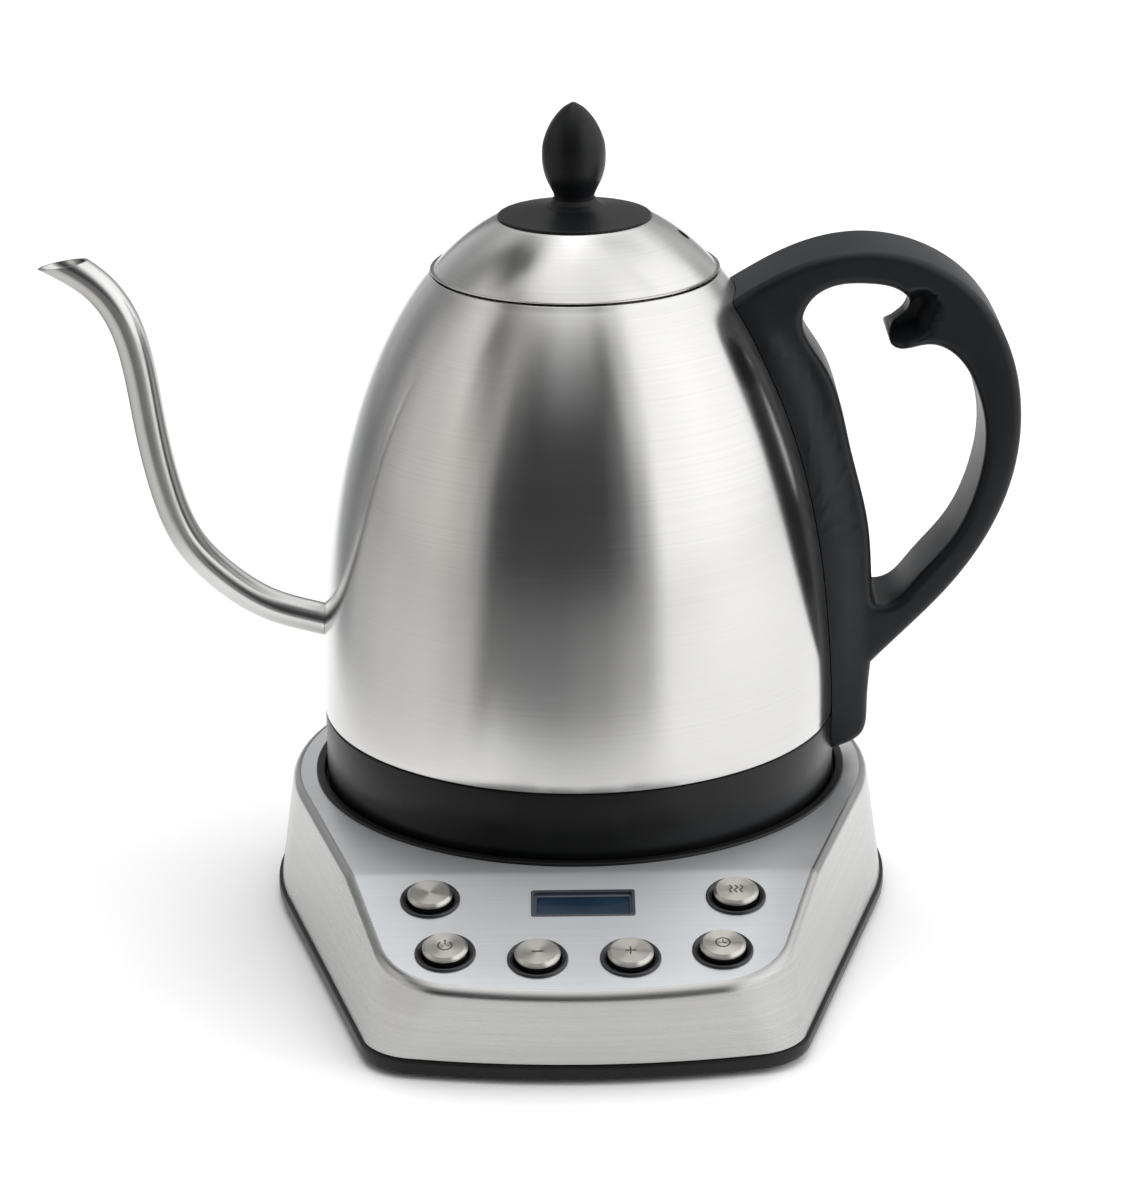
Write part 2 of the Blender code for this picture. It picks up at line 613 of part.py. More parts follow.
def build_spout(steel):
    route = [(x, 0, z) for x, z in SPOUT_ROUTE]
    spout = place("spout", tube_mesh("spout", route, SPOUT_RADIUS, 3), steel)
    far_root = (SPOUT_ROUTE[0][0] + 8, 0, SPOUT_ROUTE[0][1] - 2.4)
    bore = place("spout_bore", tube_mesh("spout_bore", [far_root, *route[1:-1], (-166, 0, 204)], SPOUT_BORE, 3))
    boolean(spout, bore)
    deep = 30.0
    x, z = SPOUT_CUT_AT
    lift = Vector((-math.sin(SPOUT_CUT_SLOPE), 0, math.cos(SPOUT_CUT_SLOPE))) * deep / 2
    mouth = box("spout_mouth_cut", (80, 30, deep), Vector((x, 0, z)) + lift, turn=(0, -SPOUT_CUT_SLOPE, 0))
    boolean(spout, mouth)
    boolean(spout, body_solid("spout_root_cut", GAP))


def build_handle(black, bolt, dark_steel):
    mesh = slab_mesh("handle", (HANDLE_OUTLINE, WINDOW_OUTLINE), HANDLE_HALF, HANDLE_EDGE)
    handle = place("handle", mesh, black, turn=(math.pi / 2, 0, 0))
    clearance = body_solid("handle_body_cut", GAP)
    boolean(handle, clearance)
    upper_at = (61.0, 0, 157.0)
    lower_at = (76.0, 0, 70.0)
    boolean(handle, box("upper_pocket", (10, 16, 14), upper_at))
    boolean(handle, box("lower_pocket", (13.2, 16, 16), lower_at))
    upper_bore = turned("upper_screw_bore", [(0, 20), (2.9, 20), (2.9, 1.0), (1.7, 1.0), (1.7, -12), (0, -12)],
                        steps=12, at=(69.0, 0, 157.0), turn=(0, math.pi / 2, 0))
    lower_bore = turned("lower_screw_bore", [(0, 16), (2.7, 16), (2.7, 1.0), (1.6, 1.0), (1.6, -22), (0, -22)],
                        steps=12, at=(79.8, 0, 52.0), turn=(math.pi, 0, 0))
    boolean(handle, upper_bore)
    boolean(handle, lower_bore)

    upper = box("handle_bracket_upper", (10 - 2 * GAP, 16 - 2 * GAP, 14 - 2 * GAP), upper_at, dark_steel)
    lower = box("handle_bracket_lower", (13.2 - 2 * GAP, 16 - 2 * GAP, 16 - 2 * GAP), lower_at, dark_steel)
    boolean(upper, clearance)
    boolean(lower, clearance)
    boolean(upper, upper_bore)
    boolean(lower, lower_bore)
    turned("handle_screw_upper", screw_profile(2.5, 1.6, 1.3, 8.0), bolt, steps=12,
           at=(70.4, 0, 157.0), turn=(0, math.pi / 2, 0))
    turned("handle_screw_lower", screw_profile(2.3, 1.6, 1.2, 18.0), bolt, steps=12,
           at=(79.8, 0, 50.6), turn=(math.pi, 0, 0))


# ---------------------------------------------------------------- lid


def build_lid(steel, black, silicone, bolt):
    outer = body_curve(DISC_EDGE_Z - 0.1, LID_EDGE_Z, 6)
    rim_radius = DISC_RADIUS + GAP
    outer[0] = (rim_radius, DISC_EDGE_Z - 0.1)
    ledge = DISC_EDGE_Z - 1.3
    inner = body_curve(ledge - 1.6, LID_EDGE_Z, 4, 0.9)
    inner.reverse()
    dome = turned("lid_dome", [
        (3.2, ledge), (rim_radius, ledge), *outer, *inner, (rim_radius - 1.5, ledge - 0.9), (3.2, ledge - 0.9),
    ], steel)
    vent_lean = math.radians(42)
    vent = turned("vent_hole", [(0, 8), (VENT_RADIUS, 8), (VENT_RADIUS, -8), (0, -8)], steps=10,
                  at=(31.0, 0, 199.3), turn=(0, vent_lean, 0))
    boolean(dome, vent)

    turned("lid_disc", [
        (3.0, DISC_CROWN_Z), (8, DISC_CROWN_Z - 0.2), (15, DISC_CROWN_Z - 0.9), (DISC_RADIUS, DISC_EDGE_Z),
        (DISC_RADIUS, ledge + GAP), (3.0, ledge + GAP),
    ], black, steps=28)

    knob = [
        (0, KNOB_TIP_Z), (1.0, 237.3), (2.7, 236.2), (4.7, 233.9), (6.4, 231.0), (7.7, 228.0), (8.65, 224.8),
        (9.05, 221.6), (8.75, 218.2), (7.9, 215.0), (6.6, 212.0), (5.7, 209.8), (5.6, KNOB_SEAT_Z),
        (1.9, KNOB_SEAT_Z), (1.9, 219.0), (0, 219.0),
    ]
    turned("lid_knob", knob, black, steps=20)

    plug = PLUG_RADIUS
    turned("lid_pan", [
        (35.6, 191.3), (37.6, 191.3), (37.6, 190.2), (plug, 190.2), (plug, 186.0), (35.2, 186.0), (35.2, 183.2),
        (plug, 183.2), (plug, PLUG_BOTTOM + 0.8), (plug - 0.8, PLUG_BOTTOM), (1.9, PLUG_BOTTOM), (1.9, 202.4),
        (4.2, 202.4), (4.2, PLUG_BOTTOM + 1.4), (34.0, PLUG_BOTTOM + 1.4), (34.0, 190.2),
    ], steel, steps=24)
    turned("lid_gasket", [(35.5, 185.7), (38.3, 184.9), (38.3, 184.3), (35.5, 183.5)], silicone, steps=28)
    turned("lid_screw", screw_profile(3.4, 1.7, 1.5, 36.0), bolt, steps=12,
           at=(0, 0, PLUG_BOTTOM - GAP), turn=(math.pi, 0, 0))


def main():
    global parts, cutters, kettle_axis, panel_frame
    clear_scene()
    parts = new_collection("gooseneck_kettle")
    cutters = new_collection("cutters")
    kettle_axis = new_empty("kettle_axis", AXIS_AT)
    panel_frame = new_empty("panel_frame", (0, CREASE_Y, DECK_Z), PANEL_TILT, kettle_axis)

    brushed = material("brushed_steel", (0.62, 0.61, 0.59), 0.32, 1.0)
    satin = material("satin_steel", (0.70, 0.70, 0.69), 0.22, 1.0)
    spun = material("spun_steel", (0.72, 0.72, 0.72), 0.25, 1.0)
    black = material("soft_black_plastic", (0.018, 0.019, 0.020), 0.5)
    grey = material("bezel_grey", (0.06, 0.065, 0.07), 0.35)
    rubber = material("foot_rubber", (0.02, 0.02, 0.02), 0.8)
    silicone = material("silicone", (0.55, 0.56, 0.55), 0.6)
    aluminium = material("cast_aluminium", (0.60, 0.60, 0.60), 0.45, 1.0)
    dark_steel = material("dark_steel", (0.25, 0.25, 0.26), 0.4, 1.0)
    bolt = material("screw_steel", (0.45, 0.45, 0.46), 0.3, 1.0)
    brass = material("contact_brass", (0.78, 0.60, 0.28), 0.3, 1.0)
    glass = material("display_glass", (0.01, 0.015, 0.03), 0.08)
    display = material("lcd_body", (0.05, 0.06, 0.09), 0.4)
    board_green = material("circuit_board", (0.02, 0.14, 0.06), 0.5)

    build_base(brushed, black, rubber, bolt, brass)
    build_panel(black, grey, spun, glass, board_green, display)
    build_body(brushed, satin, black)
    build_heater(satin, aluminium, dark_steel, silicone, bolt)
    build_coupler(black, brass)
    build_spout(satin)
    build_handle(black, bolt, dark_steel)
    build_lid(brushed, black, silicone, bolt)


main()
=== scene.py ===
"""Looks of the gooseneck kettle: fine surfaces, procedural materials, studio light and camera.

Lengths in constants and profiles are millimetres about the kettle's upright axis; MM makes metres of them.
"""

import math

import bmesh
import bpy
import numpy as np
from mathutils import Matrix, Vector


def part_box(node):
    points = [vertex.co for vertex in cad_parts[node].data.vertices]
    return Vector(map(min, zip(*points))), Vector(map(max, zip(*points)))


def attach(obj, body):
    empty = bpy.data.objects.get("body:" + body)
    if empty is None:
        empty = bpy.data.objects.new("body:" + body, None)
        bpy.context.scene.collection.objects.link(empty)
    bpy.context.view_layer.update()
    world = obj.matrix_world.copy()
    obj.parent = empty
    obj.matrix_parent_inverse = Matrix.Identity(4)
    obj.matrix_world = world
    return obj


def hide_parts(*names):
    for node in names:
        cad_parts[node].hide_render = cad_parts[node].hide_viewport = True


MM = 0.001

# ---- driving sizes, as in the CAD
BODY_RADIUS = 75.15
BODY_RISE = 147.96
BODY_WAIST_Z = 61.9
BODY_POWER = 2.155
BODY_FOOT_Z = 58.9
MOUTH_Z = 189.3
SKIRT_RADIUS = 75.0
SKIRT_BOTTOM = 37.0
LID_EDGE_Z = 190.0
DISC_RADIUS = 21.6
DISC_EDGE_Z = 205.0
KNOB_SEAT_Z = 207.2
PLUG_RADIUS = 36.6
PLUG_BOTTOM = 181.0
VENT_AT = (31.0, 0, 199.3)
VENT_LEAN = math.radians(42)
VENT_RADIUS = 2.1

SIDE_TAPER = math.radians(15.5)
PANEL_TILT = math.radians(13.0)
BASE_FRONT = 135.9
BASE_REAR = 90.7
TRAY_BOTTOM = 1.5
TRAY_TOP = 5.5
STEEL_BOTTOM = 5.8
DECK_Z = 38.5
CREASE_Y = -82.0
CREASE_SOFT = 1.6
STEEL_RADIUS_LOW = 89.6
STEEL_RADIUS_TOP = 85.4
STEEL_FRONT = 135.0
FRONT_BOW = 235.0
CORNER = 17.0
CORNER_GROWTH = 8.0
TOP_ROUND = 2.4
SEAT_HOLE = 77.3
SEAT_RIM = 78.4
SEAT_INNER = 75.9
SEAT_FLOOR = 36.7
SOCKET_RADIUS = 20.0
SOCKET_TOP = 50.0
GLAND_Z = 16.0
GLAND_HOLE = 6.0

BUTTONS = {
    "timer": (-42.0, -12.1),
    "boil": (42.0, -12.1),
    "power": (-37.4, -35.9),
    "hold": (37.4, -35.9),
    "minus": (-12.5, -38.85),
    "plus": (12.5, -38.85),
}
BUTTON_RADIUS = 6.2
BUTTON_PROUD = 2.9
BEZEL_RADIUS = 8.5
BEZEL_BORE = 6.5
BEZEL_COLLAR = 7.2
KEY_HOLE = 7.5
MARK_WIDTH = 0.42
MARK_RISE = 0.05
MARK_SINK = 0.11
DISPLAY_CENTRE_V = -14.2
DISPLAY_SIZE = (28.6, 11.6)

SPOUT_RADIUS = 4.75
SPOUT_BORE = 4.1
STRAINER_HOLE = 1.05
STRAINER_PITCH = 2.7
STRAINER_AT = (-74.5, 84.5)
STRAINER_LEAN = -1.29
SPOUT_ROUTE = (
    (-66, 82.0), (-76, 84.9), (-90, 89.2), (-103.5, 98.2), (-112.8, 108.6), (-119.2, 125.0),
    (-123.3, 146.5), (-126.3, 166.0), (-130.0, 177.3), (-136.6, 186.4), (-146.5, 193.2), (-158, 199.5),
)
SPOUT_CUT_AT = (-138.0, 193.9)
SPOUT_CUT_SLOPE = math.radians(9.8)

HANDLE_HALF = 14.0
HANDLE_EDGE = 2.6
HANDLE_FLARE = 4.0
FLARE_REACH = 9.5
FLARE_LOW = (48.0, 45.0)  # where the flare starts, and over how far it grows
FLARE_HIGH = (190.0, 30.0)  # where it ends, and over how far it fades
SPUR_RIDGE = ((97.4, 180.6), (95.5, 176.5), (91.5, 174.8))
SPUR_HALF = 4.5
SPUR_CORE = 0.6
SPUR_SCOOP = 5.5
HANDLE_OUTLINE = (
    (38, 179, "corner"), (52, 187.8), (65, 193.9), (81, 196.9), (98, 193.9), (113, 184.3), (122.6, 169.5),
    (126.9, 150), (125.6, 132.4), (119.2, 114.4), (107, 96.2), (92, 80.5), (85.2, 73.6, "corner"),
    (84.3, 60), (82.6, 51), (78.5, 48.2), (72, 46.2, "corner"), (60, 46.2, "corner"), (60, 110, "corner"),
    (42, 165, "corner"),
)
WINDOW_OUTLINE = (
    (64.3, 177.5), (67.3, 183.3), (74.3, 186.9), (83, 187.2), (90, 185.9), (93.9, 183), (95, 179.3),
    (93.2, 176.4), (90.6, 174.3), (88.9, 171.9), (89.4, 169.4), (91.9, 168.1), (96.5, 168.7),
    (101.5, 169.2), (106.5, 167), (111.1, 162), (114.4, 154.7), (116.6, 145), (115, 128), (108, 111.5),
    (97.5, 98.8), (89, 91.6), (86.3, 91.8), (85.2, 95.5), (83.4, 118), (78.2, 139.5), (70.6, 163.4),
)

# Camera, about the kettle's axis
CAMERA_AT = (-5.08, -1025.25, 453.71)
CAMERA_PITCH = math.radians(19.5545)
CAMERA_ROLL = math.radians(0.6703)
CAMERA_LENS = 111.13

# Studio, in metres: the floor is white up to where the first number says and carries painted shade from the
# second
FLOOR_WHITE = (0.9, 0.9, 0.9)
FLOOR_BESIDE = (0.165, 0.26)
FLOOR_AHEAD = (-0.185, -0.31)
VIEW_SPREAD = 0.17
BLUE_LOSS = 1.6  # how much blue a warm tone gives up for the red that it gains
LIGHTS = {
    "top_softbox": ((0.0, 0.5, 1.7), (0, 0.35, 0.0), 1.8, 1.8, 20.0),
    "right_softbox": ((1.5, -0.4, 0.7), (0, 0, 0.12), 1.0, 1.2, 8.0),
}

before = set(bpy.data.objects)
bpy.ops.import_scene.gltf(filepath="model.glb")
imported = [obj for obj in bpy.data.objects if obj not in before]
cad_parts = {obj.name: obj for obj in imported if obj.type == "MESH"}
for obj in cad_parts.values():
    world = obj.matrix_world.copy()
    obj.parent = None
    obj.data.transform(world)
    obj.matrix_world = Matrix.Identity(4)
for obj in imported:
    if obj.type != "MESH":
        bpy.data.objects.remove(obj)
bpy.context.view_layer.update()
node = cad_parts
knob_low, knob_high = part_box("lid_knob")
AXIS = Vector(((knob_low[0] + knob_high[0]) / 2, (knob_low[1] + knob_high[1]) / 2, 0.0))
PANEL = (
    Matrix.Translation(AXIS + Vector((0, CREASE_Y, DECK_Z)) * MM) @ Matrix.Rotation(PANEL_TILT, 4, "X")
)
UPRIGHT = Matrix.Translation(AXIS)


# ---- mesh helpers


def shifted(place, x, y, z):
    """A place moved along its own axes, by millimetres."""
    return place @ Matrix.Translation(Vector((x, y, z)) * MM)


def link(name, data):
    obj = bpy.data.objects.new(name, data)
    bpy.context.scene.collection.objects.link(obj)
    return obj


def evaluated_mesh(obj):
    bpy.context.view_layer.update()
    return bpy.data.meshes.new_from_object(obj.evaluated_get(bpy.context.evaluated_depsgraph_get()))


def add_object(name, bm, smooth_angle=35.0):
    """An object from a bmesh in metres, shaded smooth with its sharp edges kept."""
    mesh = bpy.data.meshes.new(name)
    bm.to_mesh(mesh)
    bm.free()
    mesh.shade_smooth()
    mesh.set_sharp_from_angle(angle=math.radians(smooth_angle))
    return link(name, mesh)


def rounded(points, steps=4):
    """A closed or open profile from (x, z) or (x, z, radius) corners, with an arc for each radius."""
    out = []
    count = len(points)
    for i, corner in enumerate(points):
        here = Vector(corner[:2])
        radius = corner[2] if len(corner) > 2 else 0.0
        if not radius:
            out.append(here)
            continue
        before = Vector(points[i - 1][:2]) - here
        after = Vector(points[(i + 1) % count][:2]) - here
        angle = before.angle(after)
        reach = min(radius / math.tan(angle / 2), before.length * 0.49, after.length * 0.49)
        radius = reach * math.tan(angle / 2)
        middle = (before.normalized() + after.normalized()).normalized()
        centre = here + middle * (radius / math.sin(angle / 2))
        start = here + before.normalized() * reach - centre
        painted_shade = start.angle_signed(here + after.normalized() * reach - centre)
        for k in range(steps + 1):
            out.append(centre + Matrix.Rotation(-painted_shade * k / steps, 2) @ start)
    return out


def lathe(name, profile, steps=128, place=UPRIGHT, closed=True, arc=4):
    """A turned surface from the corners that rounded takes; UV runs round it and along it, in metres."""
    points = rounded(profile, arc)
    rows = points + [points[0]] if closed else points
    along = [0.0]
    for a, b in zip(rows, rows[1:]):
        along.append(along[-1] + (b - a).length * MM)
    bm = bmesh.new()
    uv = bm.loops.layers.uv.new("UVMap")
    rings = []
    for p in points:
        if p.x < 1e-6:
            rings.append([bm.verts.new(place @ Vector((0, 0, p.y * MM)))])
            continue
        ring = []
        for i in range(steps):
            angle = math.pi / 2 + 2 * math.pi * i / steps
            spot = Vector((p.x * math.cos(angle), p.x * math.sin(angle), p.y)) * MM
            ring.append(bm.verts.new(place @ spot))
        rings.append(ring)
    spans = len(rows) - 1
    for k in range(spans):
        low, high = rings[k], rings[(k + 1) % len(rings)]
        if len(low) == 1 and len(high) == 1:
            continue
        scale = 2 * math.pi * max(points[k].x, points[(k + 1) % len(points)].x) * MM
        for i in range(steps):
            j = (i + 1) % steps
            if len(low) == 1:
                corners = [(low[0], i + 0.5, k), (high[j], i + 1, k + 1), (high[i], i, k + 1)]
            elif len(high) == 1:
                corners = [(low[i], i, k), (low[j], i + 1, k), (high[0], i + 0.5, k + 1)]
            else:
                corners = [(low[i], i, k), (low[j], i + 1, k),
                           (high[j], i + 1, k + 1), (high[i], i, k + 1)]
            face = bm.faces.new([c[0] for c in corners])
            for loop, (_, turn, row) in zip(face.loops, corners):
                loop[uv].uv = (turn / steps * scale, along[row])
    bmesh.ops.recalc_face_normals(bm, faces=bm.faces)
    return add_object(name, bm)


def cubic_spline(points, step, closed=False):
    """Points every step millimetres or so along a curve through the Vectors, smooth in its curvature."""
    spots = np.array([tuple(p) for p in points], float)
    if closed:
        spots = np.vstack([spots[-3:], spots, spots[:4]])
    if len(spots) == 2:
        return [Vector(p) for p in spots]
    gaps = np.linalg.norm(np.diff(spots, axis=0), axis=1)
    count = len(spots)
    system = np.eye(count)
    wanted = np.zeros_like(spots)
    for i in range(1, count - 1):
        system[i, i - 1:i + 2] = gaps[i - 1], 2 * (gaps[i - 1] + gaps[i]), gaps[i]
        wanted[i] = 6 * ((spots[i + 1] - spots[i]) / gaps[i] - (spots[i] - spots[i - 1]) / gaps[i - 1])
    bends = np.linalg.solve(system, wanted)
    out = []
    spans = range(3, count - 4) if closed else range(count - 1)
    for i in spans:
        pieces = max(int(math.ceil(gaps[i] / step)), 1)
        for k in range(pieces):
            b = k / pieces
            a = 1 - b
            curve = (a**3 - a) * bends[i] + (b**3 - b) * bends[i + 1]
            out.append(Vector(a * spots[i] + b * spots[i + 1] + curve * gaps[i] ** 2 / 6))
    if not closed:
        out.append(Vector(spots[-1]))
    return out


def outline_curve(outline, step):
    """Points round a closed outline of (x, z) and (x, z, "corner"), smooth between its corners."""
    corners = [i for i, point in enumerate(outline) if len(point) > 2]
    if not corners:
        return cubic_spline([Vector(p[:2]) for p in outline], step, closed=True)
    out = []
    for first, last in zip(corners, corners[1:] + [corners[0] + len(outline)]):
        stretch = [Vector(outline[i % len(outline)][:2]) for i in range(first, last + 1)]
        out += cubic_spline(stretch, step)[:-1]
    return out


def tube(name, route, radius, sides=40, place=UPRIGHT, caps=True):
    """A round tube along a route of Vectors in millimetres; UV runs along it and round it."""
    bm = bmesh.new()
    uv = bm.loops.layers.uv.new("UVMap")
    side = None
    rings, along = [], [0.0]
    for i, p in enumerate(route):
        forward = (route[min(i + 1, len(route) - 1)] - route[max(i - 1, 0)]).normalized()
        if side is None:
            side = forward.orthogonal().normalized()
        side = (side - forward * side.dot(forward)).normalized()
        other = forward.cross(side)
        if i:
            along.append(along[-1] + (p - route[i - 1]).length * MM)
        size = radius(i / (len(route) - 1)) if callable(radius) else radius
        ring = []
        for k in range(sides):
            angle = 2 * math.pi * k / sides
            spot = p + (side * math.cos(angle) + other * math.sin(angle)) * size
            ring.append(bm.verts.new(place @ (spot * MM)))
        rings.append(ring)
    around = 2 * math.pi * (radius(0.5) if callable(radius) else radius) * MM
    for r, (low, high) in enumerate(zip(rings, rings[1:])):
        for k in range(sides):
            j = (k + 1) % sides
            face = bm.faces.new((low[k], low[j], high[j], high[k]))
            spots = ((r, k), (r, k + 1), (r + 1, k + 1), (r + 1, k))
            for loop, (row, turn) in zip(face.loops, spots):
                loop[uv].uv = (along[row], turn / sides * around)
    if caps:
        bm.faces.new(rings[0])
        bm.faces.new(rings[-1])
    bmesh.ops.recalc_face_normals(bm, faces=bm.faces)
    return add_object(name, bm)


def plan_loft(name, rings, cap):
    """A skin through closed rings of (x, y, z) millimetres, closed by cap; UV runs round it and up it."""
    bm = bmesh.new()
    uv = bm.loops.layers.uv.new("UVMap")
    rows = [[bm.verts.new(AXIS + Vector(p) * MM) for p in ring] for ring in rings]
    count = len(rows[0])
    round_at = [0.0]
    first = [Vector(p) for p in rings[0]]
    for i in range(count):
        round_at.append(round_at[-1] + (first[(i + 1) % count] - first[i]).length * MM)
    for r, (low, high) in enumerate(zip(rows, rows[1:])):
        for i in range(count):
            j = (i + 1) % count
            face = bm.faces.new((low[i], low[j], high[j], high[i]))
            for loop, turn in zip(face.loops, (i, i + 1, i + 1, i)):
                loop[uv].uv = (round_at[turn], loop.vert.co.z)
    cap(bm, rows, uv)
    bmesh.ops.recalc_face_normals(bm, faces=bm.faces)
    return add_object(name, bm, 40)


def close_skin(bm, rows, closed=False):
    """Faces from ring to ring, then from the last to the first or over both ends."""
    for low, high in zip(rows, rows[1:] + rows[:1] if closed else rows[1:]):
        for i in range(len(low)):
            j = (i + 1) % len(low)
            bm.faces.new((low[i], low[j], high[j], high[i]))
    if not closed:
        bm.faces.new(rows[0])
        bm.faces.new(rows[-1])
    bmesh.ops.recalc_face_normals(bm, faces=bm.faces)


def flat_uv(face, uv):
    """UV of a level face from its plan, in metres."""
    for loop in face.loops:
        loop[uv].uv = (loop.vert.co.x, loop.vert.co.y)


def cut(obj, tool, operation="DIFFERENCE"):
    """Applies an exact Boolean and removes the tool."""
    step = obj.modifiers.new("Cut", "BOOLEAN")
    step.object = tool
    step.operation = operation
    step.solver = "EXACT"
    made = evaluated_mesh(obj)
    old = obj.data
    obj.modifiers.clear()
    obj.data = made
    bpy.data.meshes.remove(old)
    bpy.data.objects.remove(tool, do_unlink=True)
    made.shade_smooth()
    made.set_sharp_from_angle(angle=math.radians(35))


def block(name, size, place):
    """A box of the given size in millimetres, centred on its place."""
    bm = bmesh.new()
    bmesh.ops.create_cube(bm, size=1.0, matrix=place @ Matrix.Diagonal((*(Vector(size) * MM), 1.0)))
    return add_object(name, bm)


def rod(name, radius, half, steps, place):
    """A plain cylinder reaching half its length each way along its place's Z."""
    return lathe(name, [(0, half), (radius, half), (radius, -half), (0, -half)], steps, place, closed=False)


def finish_piece(obj, body, look, *cad_nodes, slot=None):
    """Gives a piece its material and body, and hides the CAD nodes that it stands for."""
    if look not in list(obj.data.materials):
        obj.data.materials.clear()
        obj.data.materials.append(look)
    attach(obj, body)
    if cad_nodes:
        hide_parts(*cad_nodes)
    return obj


# ---- shapes from the driving sizes


def body_radius(z):
    share = abs((z - BODY_WAIST_Z) / BODY_RISE) ** BODY_POWER
    return BODY_RADIUS * max(1 - share, 0) ** (1 / BODY_POWER)


def body_curve(start_z, end_z, count, inset=0.0):
    """(radius, height) points down the dome, moved in by inset along its normal."""
    power = 2 / BODY_POWER
    first = math.asin(((start_z - BODY_WAIST_Z) / BODY_RISE) ** (1 / power))
    last = math.asin((max(end_z - BODY_WAIST_Z, 0) / BODY_RISE) ** (1 / power))
    out = []
    for i in range(count):
        angle = first + (last - first) * i / (count - 1)
        radius = BODY_RADIUS * math.cos(angle) ** power
        height = BODY_WAIST_Z + BODY_RISE * math.sin(angle) ** power
        normal = Vector((
            (radius / BODY_RADIUS) ** (BODY_POWER - 1) / BODY_RADIUS,
            ((height - BODY_WAIST_Z) / BODY_RISE) ** (BODY_POWER - 1) / BODY_RISE,
        )).normalized()
        out.append(Vector((radius, height)) - normal * inset)
    return out


def body_tool(name, clearance):
    """The space of body and skirt grown by a clearance, for cutting what sits against them."""
    side = SKIRT_RADIUS + clearance
    dome = body_curve(202.0, BODY_WAIST_Z, 60, -clearance)
    profile = [(0, 206), *dome, (BODY_RADIUS + clearance, 57), (side, 57), (side, 30), (0, 30)]
    return lathe(name, profile, 144)


def top_height(y):
    """Height of the deck, or of the panel in front of the softly rounded crease."""
    ahead = y - CREASE_Y
    slope = math.tan(PANEL_TILT)
    if ahead >= CREASE_SOFT:
        return DECK_Z
    if ahead <= -CREASE_SOFT:
        return DECK_Z + ahead * slope
    return DECK_Z - slope * (CREASE_SOFT - ahead) ** 2 / (4 * CREASE_SOFT)


CREASE_STEPS = [CREASE_Y + CREASE_SOFT * k / 3 for k in range(3, -4, -1)]


def base_outline(radius, front, corner):
    """The base's plan, clockwise from the rear: round back, tapered sides, round corners, bowed front."""
    side = Vector((math.cos(SIDE_TAPER), -math.sin(SIDE_TAPER)))
    along = Vector((-math.sin(SIDE_TAPER), -math.cos(SIDE_TAPER)))
    bow_centre = Vector((0, FRONT_BOW - front))
    start = side * (radius - corner) - bow_centre
    half = start.dot(along)
    reach = math.sqrt(half * half - start.length_squared + (FRONT_BOW - corner) ** 2)
    centre = side * (radius - corner) + along * (reach - half)
    turn_end = (centre - bow_centre).normalized()
    end_angle = math.atan2(turn_end.y, turn_end.x)
    right = []
    rear_steps, corner_steps, bow_steps = 60, 20, 14
    for i in range(rear_steps + 1):
        angle = math.pi / 2 - (math.pi / 2 + SIDE_TAPER) * i / rear_steps
        right.append(Vector((math.cos(angle), math.sin(angle))) * radius)
    for y in CREASE_STEPS:
        right.append(side * radius + along * ((y - side.y * radius) / along.y))
    for i in range(corner_steps + 1):
        angle = -SIDE_TAPER + (end_angle + SIDE_TAPER) * i / corner_steps
        right.append(centre + Vector((math.cos(angle), math.sin(angle))) * corner)
    for i in range(1, bow_steps + 1):
        angle = end_angle + (-math.pi / 2 - end_angle) * i / bow_steps
        right.append(bow_centre + Vector((math.cos(angle), math.sin(angle))) * FRONT_BOW)
    left = [Vector((-p.x, p.y)) for p in right[-2:0:-1]]
    return right + left


# ---- materials


def new_material(name, colour, roughness, metallic=0.0, **sockets):
    """A Principled material, its tree and its shader; other sockets are named with _ for a space."""
    made = bpy.data.materials.new(name)
    made.use_nodes = True
    shader = made.node_tree.nodes["Principled BSDF"]
    shader.inputs["Base Color"].default_value = (*colour, 1.0)
    shader.inputs["Roughness"].default_value = roughness
    shader.inputs["Metallic"].default_value = metallic
    for socket, value in sockets.items():
        shader.inputs[socket.replace("_", " ")].default_value = value
    return made, made.node_tree, shader


def add_node(tree, kind, inputs=None, **settings):
    """A node with its settings; an input is given as a value or as the socket to link."""
    made = tree.nodes.new(kind)
    for key, value in settings.items():
        setattr(made, key, value)
    for key, value in (inputs or {}).items():
        if isinstance(value, bpy.types.NodeSocket):
            tree.links.new(value, made.inputs[key])
        else:
            made.inputs[key].default_value = value
    return made


def feed(tree, shader, **links):
    """Links outputs to a shader's sockets, named with _ for a space."""
    for socket, output in links.items():
        tree.links.new(output, shader.inputs[socket.replace("_", " ")])


def sums(tree, operation, *values):
    """The output of a math node."""
    return add_node(tree, "ShaderNodeMath", dict(enumerate(values)), operation=operation).outputs[0]


def grain_vector(tree, scales, use_uv_height=False):
    """Object coordinates scaled per axis; with use_uv_height the third is the distance along the profile."""
    place = add_node(tree, "ShaderNodeTexCoord")
    source = place.outputs["Object"]
    if use_uv_height:
        flat = add_node(tree, "ShaderNodeSeparateXYZ", {0: source})
        uv = add_node(tree, "ShaderNodeSeparateXYZ", {0: place.outputs["UV"]})
        both = add_node(tree, "ShaderNodeCombineXYZ",
                        {0: flat.outputs[0], 1: flat.outputs[1], 2: uv.outputs[1]})
        source = both.outputs[0]
    return add_node(tree, "ShaderNodeMapping", {"Vector": source, "Scale": scales}).outputs[0]


def noise(tree, vector, scale=1.0, detail=3.0, roughness=0.6):
    made = add_node(tree, "ShaderNodeTexNoise",
                    {"Vector": vector, "Scale": scale, "Detail": detail, "Roughness": roughness})
    return made.outputs["Fac"]


def remap(tree, value, low, high, from_low=0.3, from_high=0.7):
    """The value's range from_low to from_high, moved to low to high and clamped."""
    made = add_node(tree, "ShaderNodeMapRange", {
        "Value": value, "From Min": from_low, "From Max": from_high, "To Min": low, "To Max": high,
    })
    return made.outputs[0]


